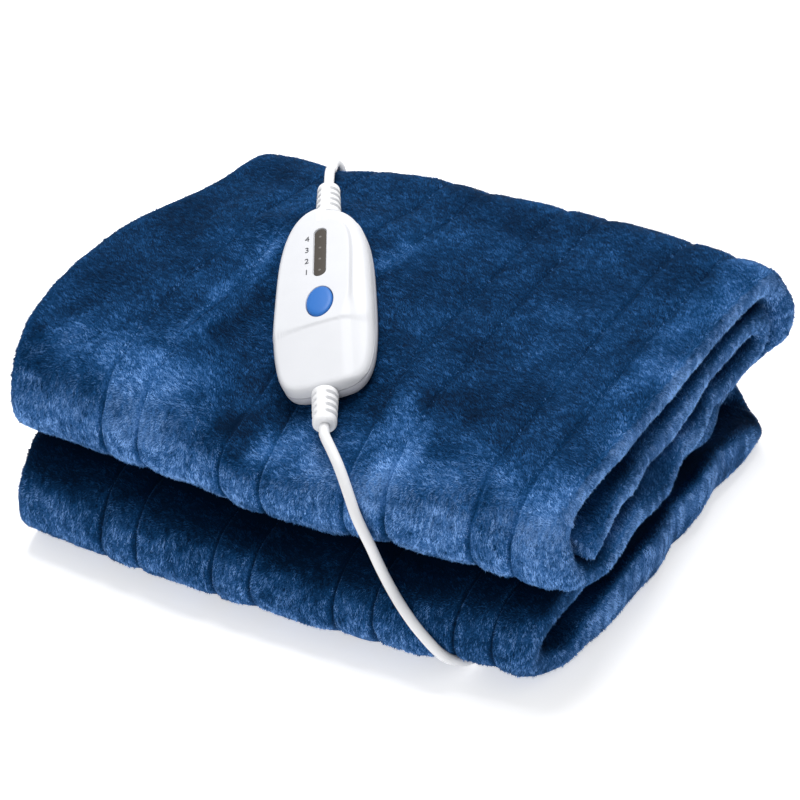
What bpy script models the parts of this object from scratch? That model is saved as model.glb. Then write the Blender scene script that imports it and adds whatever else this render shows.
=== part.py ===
# Electric heated throw: a plush blanket folded into two stacked bundles, its hand
# controller lying on top, the lead that enters the blanket and the mains lead with its plug.
# Metres, +Z up.  X runs along the front folds, Y from front to back, and the origin is on
# the floor under the middle of the folded blanket.

import bpy
import bmesh
import numpy as np
from math import cos, sin, pi, radians
from mathutils import Matrix, Vector
from mathutils.geometry import interpolate_bezier

# ---------------------------------------------------------------- driving dimensions

BLANKET_WIDTH = 0.380      # along the front folds: a quarter of 1.52 m
BLANKET_DEPTH = 0.345      # front to back, from the photograph's proportions
BLANKET_HEIGHT = 0.140
PLY = 0.0088               # one ply: two plush faces with the heating wire between
PLY_GAP = 0.0016           # between the two plies of a layer
LAYER = 2 * PLY + PLY_GAP  # a layer is two plies, joined in the fold at the right

STITCH_PITCH = 0.0838      # from one pair of seams to the next
STITCH_PAIR = 0.0272       # between the two seams of a pair, the heating wire's channel
STITCH_FIRST = -0.1215     # the left seam of the leftmost pair
STITCH_PAIRS = 4
STITCH_DEPTH = 0.0014
PILLOW = 0.0007            # how far the cloth swells between seams
INNER_PLACES = (-0.105, -0.070, -0.040, -0.012, 0.020, 0.070)   # points across inner faces

# The folded section, from the end tucked into the upper bundle to the end tucked into the
# lower one.  height: middle of the layer; front, back: where it is straight between folds;
# side, reach: where the next fold lies and how far it goes past that; rims: how far the
# fold at the right end stands out, at the layer's front and back; swell: how much thicker
# that rim gets, over the layer that it wraps.
LAYERS = (
    # name,          height, front,   back,  side of next fold, reach, rims,           swell
    ("upper tuck",   0.1010, -0.138,  0.124, "back",            0.020,  0.004, -0.009, 0.0),
    ("upper base",   0.0785, -0.122,  0.124, "front",           0.034,  0.006, -0.005, 0.0),
    ("upper top",    0.1290, -0.122,  0.118, "back",            0.044, -0.006, -0.005, 0.0),
    ("lower top",    0.0540, -0.128,  0.118, "front",           0.032, -0.003, -0.006, 0.0),
    ("lower base",   0.0096, -0.128,  0.140, "back",            0.018,  0.004,  0.002, 0.030),
    ("lower tuck",   0.0320, -0.105,  0.140, "",                0.0,   -0.030, -0.026, 0.0),
)
TOP_LAYER = 2              # the row of the layer that the controller lies on
RIM_SPAN = 0.030           # how far in from the right end a rim's swelling begins
STEPS_IN_LAYER = 5
STEPS_IN_TOP = 16
STEPS_IN_FOLD = 8
STEPS_IN_TIGHT_FOLD = 5    # where the fold's reach is under 0.025

# How the real stack departs from a neat one, in millimetres.  Each row holds the values for
# the upper and for the lower bundle, outward positive, at places from -1 to 1 along a side.
FRONT_SIDE = (
    # place along X, upper, lower
    (-1.0,  -6.0,   2.0),
    (-0.5,   0.0,  10.0),
    ( 0.0,   1.0,  11.0),
    ( 0.5,   0.0,   6.0),
    ( 1.0,  -6.0,  -6.0),
)
BACK_SIDE = (
    (-1.0,  -8.0,  -8.0),
    (-0.5,   3.0,   0.0),
    ( 0.0,   5.0,   0.0),
    ( 0.5,   8.0,   0.0),
    ( 1.0,   1.0,   0.0),
)
LEFT_SIDE = (
    # place along Y, upper, lower
    (-1.0,  -5.0, -11.0),
    (-0.5,   5.0,  -2.0),
    ( 0.0,   3.0,   0.0),
    ( 0.5, -10.0,  -6.0),
    ( 1.0, -20.0, -16.0),
)
RIGHT_SIDE = (
    (-1.0, -10.0, -20.0),
    (-0.5,  -1.0,  -8.0),
    ( 0.0,   2.0,  -2.0),
    ( 0.5,   5.0,   0.0),
    ( 1.0,  14.0,  -5.0),
)
# How much higher the top lies than in a neat stack, in millimetres, by rows from the front
# to the back and columns from left to right.
TOP_HEIGHT = (
    # left, left middle, middle, right middle, right
    ( -2.0, -5.0, -7.0, -7.0, -8.0),
    (  9.0,  7.0,  5.0,  3.0,  0.0),
    (  6.0, 11.0, 10.0,  6.0,  2.0),
    ( -3.0,  8.0,  7.0,  5.0,  1.0),
    ( -3.0,  1.0,  2.0,  3.0, -1.0),
)

# The hand controller, placed by the middle of its underside and turned in this order:
# rolled to its left, raised at its far end, headed away from the front.
CONTROLLER_PLACE = (-0.0218, -0.0490, 0.1486)
CONTROLLER_HEADING = 27.3
CONTROLLER_PITCH = 13.0
CONTROLLER_ROLL = 19.0
CONTROLLER_LENGTH = 0.151
CONTROLLER_WIDTH = 0.0615
CONTROLLER_SQUARENESS = 3.0   # exponent of its rounded outline
CONTROLLER_TAPER = 0.13       # how much narrower it gets towards the far end
SHELL_SPLIT = 0.0085          # height of the joint between the two shells
SHELL_GAP = 0.0003
OUTLINE_POINTS = 56
BED_SPREAD = 0.055            # how far round the controller the cloth gives way
BED_MARGIN = 0.009            # the bed is flat for this much round it
BED_GAP = 0.0007              # cloth pillows stay this far under the controller's base plane
BED_RISE = 0.008              # the most that the cloth comes up to meet it
DENT_PLACE = (-0.1170, 0.1500)   # where the lead presses the back edge down
DENT_SPREAD = 0.030
DENT_DEPTH = 0.0085
ENTRY_PLACE = (0.1235, -0.1450)      # where the front lead goes in under the lowest roll
ENTRY_SPREAD = 0.026
ENTRY_LIFT = 0.0090

BUTTON_PLACE = (0.0004, -0.0118)
BUTTON_SIZE = (0.0168, 0.0248)
BUTTON_FOOT = 0.0165          # height of the well's floor over the base
BUTTON_RISE = 0.0010          # how far it stands proud of the face
BUTTON_TRAVEL = 0.0010
CLEARANCE = 0.0004

WINDOW_PLACE = (0.0, 0.0315)
WINDOW_SIZE = (0.0085, 0.0420)
WINDOW_DEPTH = 0.0012

RELIEF_LOWER = 0.026          # length of the ribbed strain relief below
RELIEF_UPPER = 0.027
RELIEF_HEIGHT = 0.0100        # of its middle over the base
RELIEF_RADII = (0.0082, 0.0072)

# The lead.  Both routes start at a strain relief, and their points lie on the cord's middle.
CORD = 0.0065
CORD_STEP = 2.0 * CORD        # from one point of a built tube to the next
FRONT_ROUTE = (
    # over the front shoulder
    (0.0325, -0.1530, 0.1300), (0.0402, -0.1590, 0.1253), (0.0468, -0.1640, 0.1188),
    (0.0527, -0.1680, 0.1107), (0.0579, -0.1706, 0.1017),
    # across the gap between the bundles
    (0.0630, -0.1710, 0.0918), (0.0672, -0.1701, 0.0820), (0.0712, -0.1694, 0.0720),
    (0.0758, -0.1694, 0.0630), (0.0818, -0.1708, 0.0550), (0.0882, -0.1738, 0.0500),
    # down the lower bundle and in under its front roll
    (0.0943, -0.1762, 0.0455), (0.1000, -0.1775, 0.0406), (0.1052, -0.1780, 0.0360),
    (0.1100, -0.1779, 0.0314), (0.1142, -0.1764, 0.0262), (0.1178, -0.1731, 0.0209),
    (0.1206, -0.1674, 0.0156), (0.1226, -0.1610, 0.0109), (0.1240, -0.1538, 0.0075),
    (0.1251, -0.1472, 0.0050), (0.1260, -0.1405, 0.0039), (0.1266, -0.1355, 0.0037),
)
REAR_ROUTE = (
    # back over the top and its edge
    (-0.0787, 0.0545, 0.1812), (-0.0842, 0.0655, 0.1768), (-0.0900, 0.0770, 0.1702),
    (-0.0960, 0.0890, 0.1630), (-0.1024, 0.1020, 0.1560), (-0.1095, 0.1160, 0.1500),
    (-0.1165, 0.1305, 0.1424), (-0.1226, 0.1440, 0.1350), (-0.1277, 0.1570, 0.1258),
    (-0.1314, 0.1674, 0.1170), (-0.1330, 0.1730, 0.1040), (-0.1338, 0.1752, 0.0900),
    # down behind, onto the floor and to the coil
    (-0.1342, 0.1762, 0.0750), (-0.1344, 0.1772, 0.0600), (-0.1346, 0.1795, 0.0450),
    (-0.1348, 0.1845, 0.0315), (-0.1350, 0.1925, 0.0195), (-0.1348, 0.2030, 0.0110),
    (-0.1338, 0.2150, 0.0060), (-0.1310, 0.2280, 0.0045), (-0.1256, 0.2434, 0.0050),
)
COIL_PLACE = (-0.0830, 0.2620)
COIL_MIDDLE = 0.0750          # diameter at the middle of its turns
COIL_ACROSS = 2               # turns side by side
COIL_HIGH = 3                 # turns on each other
COIL_LIFT = 0.0010            # room for the tie under it
TIE_WIDTH = 0.006
TIE_THICKNESS = 0.0006
TIE_GAP = 0.0003
TIE_ANGLE = -35.0
TAIL_ROUTE = (
    (-0.0419, 0.2853, 0.0092), (-0.0300, 0.2785, 0.0063), (-0.0190, 0.2718, 0.0052),
    (-0.0090, 0.2670, 0.0060), (0.0005, 0.2652, 0.0075), (0.0091, 0.2650, 0.0080),
)
PLUG_PLACE = (0.0100, 0.2650, 0.0080)
PLUG_SIZE = (0.0280, 0.0250, 0.0158)   # the body behind its relief: along, wide, high
PLUG_RELIEF = 0.0220
BLADE_SIZE = (0.0170, 0.0015, 0.0063)
BLADE_APART = 0.0127


def clear_scene():
    for thing in list(bpy.data.objects):
        bpy.data.objects.remove(thing, do_unlink=True)


def paint(thing, name, colour, roughness, metallic=0.0):
    material = bpy.data.materials.new(name)
    material.use_nodes = True
    shader = material.node_tree.nodes["Principled BSDF"]
    shader.inputs["Base Color"].default_value = (*colour, 1.0)
    shader.inputs["Roughness"].default_value = roughness
    shader.inputs["Metallic"].default_value = metallic
    thing.data.materials.append(material)


def add_mesh(name, built):
    bmesh.ops.triangulate(built, faces=built.faces[:], ngon_method="EAR_CLIP")
    mesh = bpy.data.meshes.new(name)
    built.to_mesh(mesh)
    built.free()
    thing = bpy.data.objects.new(name, mesh)
    bpy.context.scene.collection.objects.link(thing)
    return thing


def stack_rings(rings, closed=False):
    """A solid through rings of equal length, capped at both ends or closed on itself."""
    built = bmesh.new()
    made = [[built.verts.new(point) for point in ring] for ring in rings]
    following = made[1:] + made[:1] if closed else made[1:]
    for below, above in zip(made, following):
        for i in range(len(below)):
            j = (i + 1) % len(below)
            built.faces.new((below[i], below[j], above[j], above[i]))
    if not closed:
        built.faces.new(made[0][::-1])
        built.faces.new(made[-1])
    bmesh.ops.recalc_face_normals(built, faces=built.faces[:])
    return built


def soft_step(value, low, high):
    t = min(max((value - low) / (high - low), 0.0), 1.0)
    return t * t * (3 - 2 * t)


# ---------------------------------------------------------------- the folded blanket

def fold_points(start, end, reach, steps):
    """Half a rounded loop from start to end, both (y, z), bulging by reach along y."""
    points = []
    for i in range(1, steps):
        angle = pi * i / steps
        bow = sin(angle) ** 0.8
        share = (1 - cos(angle)) / 2
        y = start[0] + (end[0] - start[0]) * share + reach * bow
        z = start[1] + (end[1] - start[1]) * share
        points.append((y, z))
    return points


def section_line():
    """The middle line of the layers in the Y-Z plane, and each station's rim and swell."""
    points, rims = [], []
    for row, (_, height, front, back, side, reach, rim_front, rim_back, swell) in enumerate(LAYERS):
        heading_back = row % 2 == 0
        near, far = (front, back) if heading_back else (back, front)
        rim_near, rim_far = (rim_front, rim_back) if heading_back else (rim_back, rim_front)
        steps = STEPS_IN_TOP if row == TOP_LAYER else STEPS_IN_LAYER
        for i in range(steps + 1):
            share = i / steps
            points.append((near + (far - near) * share, height))
            rims.append((rim_near + (rim_far - rim_near) * share, swell * (1 - (2 * share - 1) ** 4)))
        if side:
            following = LAYERS[row + 1]
            end = (following[3] if side == "back" else following[2], following[1])
            rim_after = following[7] if side == "back" else following[6]
            sign = 1 if side == "back" else -1
            steps = STEPS_IN_TIGHT_FOLD if reach < 0.025 else STEPS_IN_FOLD
            points += fold_points((far, height), end, sign * reach, steps)
            for i in range(1, steps):
                rims.append((rim_far + (rim_after - rim_far) * i / steps, 0.0))
    return np.array(points), rims


def seam_places():
    places = []
    for i in range(STITCH_PAIRS):
        places.append(STITCH_FIRST + STITCH_PITCH * i)
        places.append(STITCH_FIRST + STITCH_PITCH * i + STITCH_PAIR)
    return places


def columns():
    """Where the points of a face lie across the blanket, and how far each swells."""
    seams = seam_places()
    left = -BLANKET_WIDTH / 2
    right = BLANKET_WIDTH / 2 - LAYER / 2
    marks = [left] + seams + [right]
    rows = [(left, 0.0)]
    for i in range(len(marks) - 1):
        gap = marks[i + 1] - marks[i]
        inner = 1 if gap < 1.3 * STITCH_PAIR else 3
        for k in range(1, inner + 1):
            share = k / (inner + 1)
            rows.append((marks[i] + gap * share, PILLOW * sin(pi * share) ** 0.5))
        swell = -STITCH_DEPTH if i + 1 < len(marks) - 1 else 0.0
        rows.append((marks[i + 1], swell))
    return rows


def section_loop():
    """One closed loop round both plies: (x, distance from the middle line), left hem first."""
    half = LAYER / 2
    slit = PLY_GAP / 2
    face = columns()
    right = face[-1][0]
    loop = [(x, half + swell) for x, swell in face]
    for i in range(1, 6):
        angle = pi / 2 - pi * i / 6
        loop.append((right + half * cos(angle), half * sin(angle)))
    loop += [(x, -half - swell) for x, swell in reversed(face)]
    left = face[0][0]
    loop.append((left - 0.001, -(half + slit) / 2))
    inside = (left, *INNER_PLACES, right)
    loop += [(x, -slit) for x in inside]
    loop += [(x, slit) for x in reversed(inside)]
    loop.append((left - 0.001, (half + slit) / 2))
    return loop


def smooth_between(rows, place, column):
    """A smooth curve through a table's column, read at a place named in its first column."""
    places = [row[0] for row in rows]
    values = [row[column] for row in rows]
    place = min(max(place, places[0]), places[-1])
    i = min(sum(place >= p for p in places), len(places) - 1) - 1
    before, after = max(i - 1, 0), min(i + 2, len(places) - 1)
    span = places[i + 1] - places[i]
    t = (place - places[i]) / span
    out = (values[i + 1] - values[before]) / (places[i + 1] - places[before]) * span
    into = (values[after] - values[i]) / (places[after] - places[i]) * span
    return ((2 * t ** 3 - 3 * t ** 2 + 1) * values[i] + (t ** 3 - 2 * t ** 2 + t) * out
            + (3 * t ** 2 - 2 * t ** 3) * values[i + 1] + (t ** 3 - t ** 2) * into)


def side_push(rows, place, height_share):
    """Outward push in metres, blending from the lower bundle to the upper one."""
    blend = soft_step(height_share, 0.40, 0.56)
    upper, lower = (smooth_between(rows, place, column) for column in (1, 2))
    return (lower + (upper - lower) * blend) / 1000


def top_rise(u, v):
    across = [(-1 + 0.5 * i, *(row[i] for row in TOP_HEIGHT)) for i in range(5)]
    along = [(-1 + 0.5 * i, smooth_between(across, u, i + 1)) for i in range(5)]
    return smooth_between(along, v, 1) / 1000


def controller_matrix():
    """From the controller's own axes (x right, y to its far end, z out of its face)."""
    turn = (Matrix.Rotation(radians(CONTROLLER_HEADING), 4, "Z")
            @ Matrix.Rotation(radians(CONTROLLER_PITCH), 4, "X")
            @ Matrix.Rotation(radians(-CONTROLLER_ROLL), 4, "Y"))
    return Matrix.Translation(CONTROLLER_PLACE) @ turn


def bed_lift(x, y, top):
    """How far the cloth's top moves to meet the controller lying on it."""
    placed = controller_matrix()
    normal = placed.to_3x3() @ Vector((0, 0, 1))
    base = placed.translation
    plane = base.z - ((x - base.x) * normal.x + (y - base.y) * normal.y) / normal.z
    near = placed.inverted() @ Vector((x, y, plane))
    under_relief = RELIEF_LOWER * max(1 - abs(near.x) / CONTROLLER_WIDTH, 0.0)
    over = Vector((max(abs(near.x) - CONTROLLER_WIDTH / 2 - BED_MARGIN, 0),
                   max(abs(near.y) - CONTROLLER_LENGTH / 2 - BED_MARGIN - under_relief, 0))).length
    share = 1 - soft_step(over, 0.0, BED_SPREAD)
    return min(plane - BED_GAP - top, BED_RISE) * share


def warp(x, y, z):
    """Lets the stack bulge and sag as a whole: a place in the neat stack to the real one."""
    u = x / (BLANKET_WIDTH / 2)
    v = y / (BLANKET_DEPTH / 2)
    w = min(max(z / BLANKET_HEIGHT, 0.0), 1.0)
    ends = RIGHT_SIDE if u > 0 else LEFT_SIDE
    sides = BACK_SIDE if v > 0 else FRONT_SIDE
    x += side_push(ends, v, w) * min(abs(u), 1.1) ** 2 * (1 if u > 0 else -1)
    y += side_push(sides, u, w) * min(abs(v), 1.1) ** 2 * (1 if v > 0 else -1)
    rise = top_rise(u, v)
    neat_top = LAYERS[TOP_LAYER][1] + LAYER / 2 + PILLOW
    dent = (Vector((x, y)) - Vector(DENT_PLACE)).length / DENT_SPREAD
    lift = rise + bed_lift(x, y, neat_top + rise) - DENT_DEPTH * 2.72 ** (-dent * dent)
    entry = (Vector((x, y)) - Vector(ENTRY_PLACE)).length / ENTRY_SPREAD
    low_lift = ENTRY_LIFT * 2.72 ** (-entry * entry) * (1 - w) ** 3
    return x, y, max(z + lift * w ** 2 + low_lift, 0.0)


def build_blanket():
    line, rims = section_line()
    step = np.gradient(line, axis=0)
    step /= np.linalg.norm(step, axis=1)[:, None]
    normal = np.stack((-step[:, 1], step[:, 0]), axis=1)
    loop = section_loop()
    half = LAYER / 2
    rim_from = BLANKET_WIDTH / 2 - RIM_SPAN

    rings = []
    for station, ((y, z), (ny, nz), (rim, swell)) in enumerate(zip(line, normal, rims)):
        slim = 0.55 if station in (0, len(line) - 1) else 1.0
        ring = []
        for x, off in loop:
            near_rim = max(x - rim_from, 0.0) / RIM_SPAN
            share = (off + half) / (2 * half)
            off = off * slim + swell * near_rim ** 1.5 * share
            ring.append(warp(x + rim * near_rim, y + ny * off, z + nz * off))
        rings.append(ring)
    blanket = add_mesh("blanket", stack_rings(rings))
    paint(blanket, "navy plush", (0.012, 0.045, 0.150), 0.9)
    return blanket


# ---------------------------------------------------------------- the hand controller

def egg(points, grow=0.0):
    """The controller's outline seen from above, grown outwards by grow."""
    wide, long = CONTROLLER_WIDTH / 2 + grow, CONTROLLER_LENGTH / 2 + grow
    ring = []
    for i in range(points):
        angle = 2 * pi * i / points
        c, s = cos(angle), sin(angle)
        power = 2 / CONTROLLER_SQUARENESS
        across = abs(c) ** power * (1 if c > 0 else -1)
        along = abs(s) ** power * (1 if s > 0 else -1)
        ring.append((wide * across * 0.98 * (1 - CONTROLLER_TAPER * along), long * along))
    return ring


def face_height(x, y):
    """Height of the top shell's face over the base: a dome, and the raised keypad on it."""
    along = y / (CONTROLLER_LENGTH / 2)
    across = x / (CONTROLLER_WIDTH / 2)
    dome = 0.0235 - 0.0022 * across ** 2 - 0.0030 * max(-along - 0.36, 0.0) ** 1.5 * 2.0
    keypad_edge = (abs(across) / 0.66) ** 2.2 + (max(along, 0.0) / 0.97) ** 2.6
    keypad = soft_step(1.06 - keypad_edge, 0.0, 0.22) * soft_step(along, -0.40, -0.34)
    return dome + 0.0020 * keypad


def place_on_controller(thing):
    thing.matrix_world = controller_matrix()


def build_shell_bottom():
    rows = ((-0.0030, 0.0), (-0.0010, 0.0008), (0.0, 0.0028), (0.0, SHELL_SPLIT))
    rings = [[(x, y, z) for x, y in egg(OUTLINE_POINTS, grow)] for grow, z in rows]
    shell = add_mesh("shell_bottom", stack_rings(rings))
    paint(shell, "white shell below", (0.86, 0.86, 0.88), 0.35)
    place_on_controller(shell)
    return shell


def slot_ring(place, size, points=24):
    """A slot with round ends, standing along y."""
    radius = size[0] / 2
    reach = size[1] / 2 - radius
    ring = []
    for i in range(points):
        angle = 2 * pi * (i + 0.5) / points
        push = reach if sin(angle) > 0 else -reach
        ring.append((place[0] + radius * cos(angle), place[1] + radius * sin(angle) + push))
    return ring


def oval_ring(place, size, points=32):
    return [(place[0] + size[0] / 2 * cos(2 * pi * i / points),
             place[1] + size[1] / 2 * sin(2 * pi * i / points)) for i in range(points)]


def cut_well(shell, name, ring, floor):
    top = floor + 0.02
    rings = [[(x, y, z) for x, y in ring] for z in (floor, top)]
    cutter = add_mesh(name, stack_rings(rings))
    place_on_controller(cutter)
    cutter.hide_render = True
    cutter.display_type = "WIRE"
    cut = shell.modifiers.new(name, "BOOLEAN")
    cut.operation = "DIFFERENCE"
    cut.object = cutter


def build_shell_top():
    rings = [[(x, y, SHELL_SPLIT + SHELL_GAP) for x, y in egg(OUTLINE_POINTS, -0.0004)],
             [(x, y, SHELL_SPLIT + 0.0016) for x, y in egg(OUTLINE_POINTS, 0.0)]]
    outline = egg(OUTLINE_POINTS)
    for share, drop in ((0.985, 0.0075), (0.96, 0.0042), (0.92, 0.0022), (0.86, 0.0010),
                        (0.78, 0.0003), (0.70, 0.0), (0.60, 0.0), (0.48, 0.0), (0.34, 0.0),
                        (0.18, 0.0)):
        ring = [(x * share, y * share) for x, y in outline]
        rings.append([(x, y, face_height(x, y) - drop) for x, y in ring])
    shell = add_mesh("shell_top", stack_rings(rings))
    paint(shell, "white shell", (0.90, 0.90, 0.92), 0.30)
    place_on_controller(shell)
    roomy = [size + 2 * CLEARANCE for size in BUTTON_SIZE]
    cut_well(shell, "button_well", oval_ring(BUTTON_PLACE, roomy), BUTTON_FOOT)
    window_floor = face_height(*WINDOW_PLACE) - WINDOW_DEPTH
    cut_well(shell, "window_recess", slot_ring(WINDOW_PLACE, WINDOW_SIZE), window_floor)
    return shell


def build_window():
    floor = face_height(*WINDOW_PLACE) - WINDOW_DEPTH + SHELL_GAP
    size = [side - 2 * CLEARANCE for side in WINDOW_SIZE]
    smaller = [side - 2 * CLEARANCE for side in size]
    top = face_height(*WINDOW_PLACE) - 0.0003
    rings = [[(x, y, floor) for x, y in slot_ring(WINDOW_PLACE, size)],
             [(x, y, top - 0.0003) for x, y in slot_ring(WINDOW_PLACE, size)],
             [(x, y, top) for x, y in slot_ring(WINDOW_PLACE, smaller)]]
    window = add_mesh("display_window", stack_rings(rings))
    paint(window, "smoked window", (0.05, 0.045, 0.04), 0.15)
    place_on_controller(window)


def build_button():
    foot = BUTTON_FOOT + BUTTON_TRAVEL + CLEARANCE
    face = face_height(*BUTTON_PLACE) + BUTTON_RISE
    rows = ((1.0, foot), (1.0, face - 0.0014), (0.96, face - 0.0007), (0.86, face - 0.0002),
            (0.60, face + 0.0001), (0.25, face + 0.0002))
    rings = []
    for share, z in rows:
        size = [side * share for side in BUTTON_SIZE]
        rings.append([(x, y, z) for x, y in oval_ring(BUTTON_PLACE, size)])
    button = add_mesh("button", stack_rings(rings))
    paint(button, "blue button", (0.06, 0.24, 0.75), 0.30)
    place_on_controller(button)


def relief_rings(start, length, sides=16):
    """A ribbed cone along y from start, its last ring at the cord's end."""
    way = 1 if length > 0 else -1
    rows = [(0.0, RELIEF_RADII[0] * 0.92), (0.05, RELIEF_RADII[0])]
    ribs = 4
    for rib in range(ribs):
        at = 0.16 + 0.19 * rib
        radius = RELIEF_RADII[0] + (RELIEF_RADII[1] - RELIEF_RADII[0]) * at
        for step, drop in ((0.0, 0.0), (0.02, 0.0014), (0.055, 0.0014), (0.075, 0.0)):
            rows.append((at + step, radius - drop))
    rows += [(0.95, RELIEF_RADII[1]), (1.0, RELIEF_RADII[1] * 0.86)]
    rings = []
    for at, radius in rows:
        y = start + length * at
        turn = [2 * pi * i / sides for i in range(sides)]
        rings.append([(radius * cos(a), y, RELIEF_HEIGHT - way * radius * sin(a)) for a in turn])
    return rings


def build_relief(name, way, length):
    start = way * (CONTROLLER_LENGTH / 2 + SHELL_GAP)
    relief = add_mesh(name, stack_rings(relief_rings(start, way * length)))
    paint(relief, "white " + name, (0.88, 0.88, 0.90), 0.45)
    place_on_controller(relief)


# ---------------------------------------------------------------- the lead, its coil and plug

def smooth_route(route):
    """Points every CORD_STEP along a smooth curve through a route's points."""
    knots = [Vector(point) for point in route]
    fine = []
    for i in range(len(knots) - 1):
        before, after = knots[max(i - 1, 0)], knots[min(i + 2, len(knots) - 1)]
        out = knots[i] + (knots[i + 1] - before) / 6
        into = knots[i + 1] - (after - knots[i]) / 6
        fine += interpolate_bezier(knots[i], out, into, knots[i + 1], 17)[:-1]
    fine.append(knots[-1])
    lengths = [0.0]
    for a, b in zip(fine, fine[1:]):
        lengths.append(lengths[-1] + (b - a).length)
    count = round(lengths[-1] / CORD_STEP)
    points = []
    for i in range(count + 1):
        place = min(lengths[-1] * i / count, lengths[-1] * 0.999999)
        k = sum(length <= place for length in lengths) - 1
        points.append(fine[k].lerp(fine[k + 1], (place - lengths[k]) / (lengths[k + 1] - lengths[k])))
    return points


def build_tube(name, route):
    curve = bpy.data.curves.new(name, "CURVE")
    curve.dimensions = "3D"
    curve.bevel_depth = CORD / 2
    curve.bevel_resolution = 2
    curve.use_fill_caps = True
    points = smooth_route(route)
    straight = Vector(route[1])
    if (straight - points[0]).length < 0.6 * CORD_STEP:
        points.insert(1, straight)
    spline = curve.splines.new("POLY")
    spline.points.add(len(points) - 1)
    for spot, point in zip(spline.points, points):
        spot.co = (*point, 1.0)
    tube = bpy.data.objects.new(name, curve)
    bpy.context.scene.collection.objects.link(tube)
    paint(tube, name.replace("_", " "), (0.88, 0.88, 0.89), 0.45)


def relief_exit(way, length):
    """The first two points of a cord: just clear of its strain relief, and straight on."""
    end = CONTROLLER_LENGTH / 2 + SHELL_GAP + length + SHELL_GAP
    placed = controller_matrix()
    return [tuple(placed @ Vector((0, way * (end + more), RELIEF_HEIGHT))) for more in (0, CORD)]


def rounded_box_ring(wide, high, corner):
    """A rectangle with cut corners as (across, up) points round its middle."""
    a, b = wide / 2, high / 2
    return [(a, -b + corner), (a, b - corner), (a - corner, b), (-a + corner, b),
            (-a, b - corner), (-a, -b + corner), (-a + corner, -b), (a - corner, -b)]


def coil_section():
    wide, high = COIL_ACROSS * CORD, COIL_HIGH * CORD
    return rounded_box_ring(wide, high, CORD * 0.3), COIL_LIFT + high / 2


def build_coil(steps=36):
    section, middle = coil_section()
    rings = []
    for step in range(steps):
        turn = Matrix.Rotation(2 * pi * step / steps, 3, "Z")
        ring = [turn @ Vector((COIL_MIDDLE / 2 + out, 0, middle + up)) for out, up in section]
        rings.append([point + Vector((*COIL_PLACE, 0)) for point in ring])
    coil = add_mesh("lead_coil", stack_rings(rings, closed=True))
    paint(coil, "lead coil", (0.88, 0.88, 0.89), 0.45)


def build_tie():
    middle = coil_section()[1]
    wide, high = COIL_ACROSS * CORD, COIL_HIGH * CORD
    turn = Matrix.Rotation(radians(TIE_ANGLE), 3, "Z")
    rings = []
    for side, grow in ((-1, TIE_GAP), (-1, TIE_GAP + TIE_THICKNESS),
                       (1, TIE_GAP + TIE_THICKNESS), (1, TIE_GAP)):
        loop = rounded_box_ring(wide + 2 * grow, high + 2 * grow, CORD * 0.3)
        ring = [turn @ Vector((COIL_MIDDLE / 2 + out, side * TIE_WIDTH / 2, middle + up))
                for out, up in loop]
        rings.append([point + Vector((*COIL_PLACE, 0)) for point in ring])
    tie = add_mesh("coil_tie", stack_rings(rings, closed=True))
    paint(tie, "black tie", (0.02, 0.02, 0.02), 0.6)


def build_plug():
    long, wide, high = PLUG_SIZE
    rows = (
        # along, width, height
        (0.0, 1.25 * CORD, 1.25 * CORD),
        (PLUG_RELIEF, 1.75 * CORD, 1.65 * CORD),
        (PLUG_RELIEF + 0.002, 0.74 * wide, 0.80 * high),
        (PLUG_RELIEF + 0.006, 0.90 * wide, 0.95 * high),
        (PLUG_RELIEF + 0.012, wide, high),
        (PLUG_RELIEF + long - 0.002, wide, high),
        (PLUG_RELIEF + long, 0.94 * wide, 0.92 * high),
    )
    rings = []
    for along, across, tall in rows:
        ring = []
        for i in range(20):
            c, s = cos(2 * pi * i / 20), sin(2 * pi * i / 20)
            ring.append((along, across / 2 * abs(c) ** 0.7 * (1 if c > 0 else -1),
                         tall / 2 * abs(s) ** 0.7 * (1 if s > 0 else -1)))
        rings.append(ring)
    body = add_mesh("plug_body", stack_rings(rings))
    paint(body, "plug body", (0.86, 0.86, 0.87), 0.5)
    body.location = PLUG_PLACE
    for name, side in (("plug_blade_left", 1), ("plug_blade_right", -1)):
        built = bmesh.new()
        bmesh.ops.create_cube(built, size=1.0)
        bmesh.ops.scale(built, vec=BLADE_SIZE, verts=built.verts[:])
        blade = add_mesh(name, built)
        paint(blade, name.replace("_", " "), (0.78, 0.74, 0.62), 0.25, 1.0)
        reach = PLUG_RELIEF + long + SHELL_GAP + BLADE_SIZE[0] / 2
        blade.location = Vector(PLUG_PLACE) + Vector((reach, side * BLADE_APART / 2, 0))


clear_scene()
build_blanket()
build_shell_bottom()
build_shell_top()
build_window()
build_button()
build_relief("relief_lower", -1, RELIEF_LOWER)
build_relief("relief_upper", 1, RELIEF_UPPER)
build_tube("lead_front", (*relief_exit(-1, RELIEF_LOWER), *FRONT_ROUTE))
build_tube("lead_rear", (*relief_exit(1, RELIEF_UPPER), *REAR_ROUTE))
build_coil()
build_tie()
build_tube("lead_tail", TAIL_ROUTE)
build_plug()
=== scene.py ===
import bpy
import bmesh
import numpy as np
from math import cos, pi, radians, sin, sqrt
from mathutils import Matrix, Vector, noise
from mathutils.bvhtree import BVHTree
from mathutils.geometry import interpolate_bezier


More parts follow.
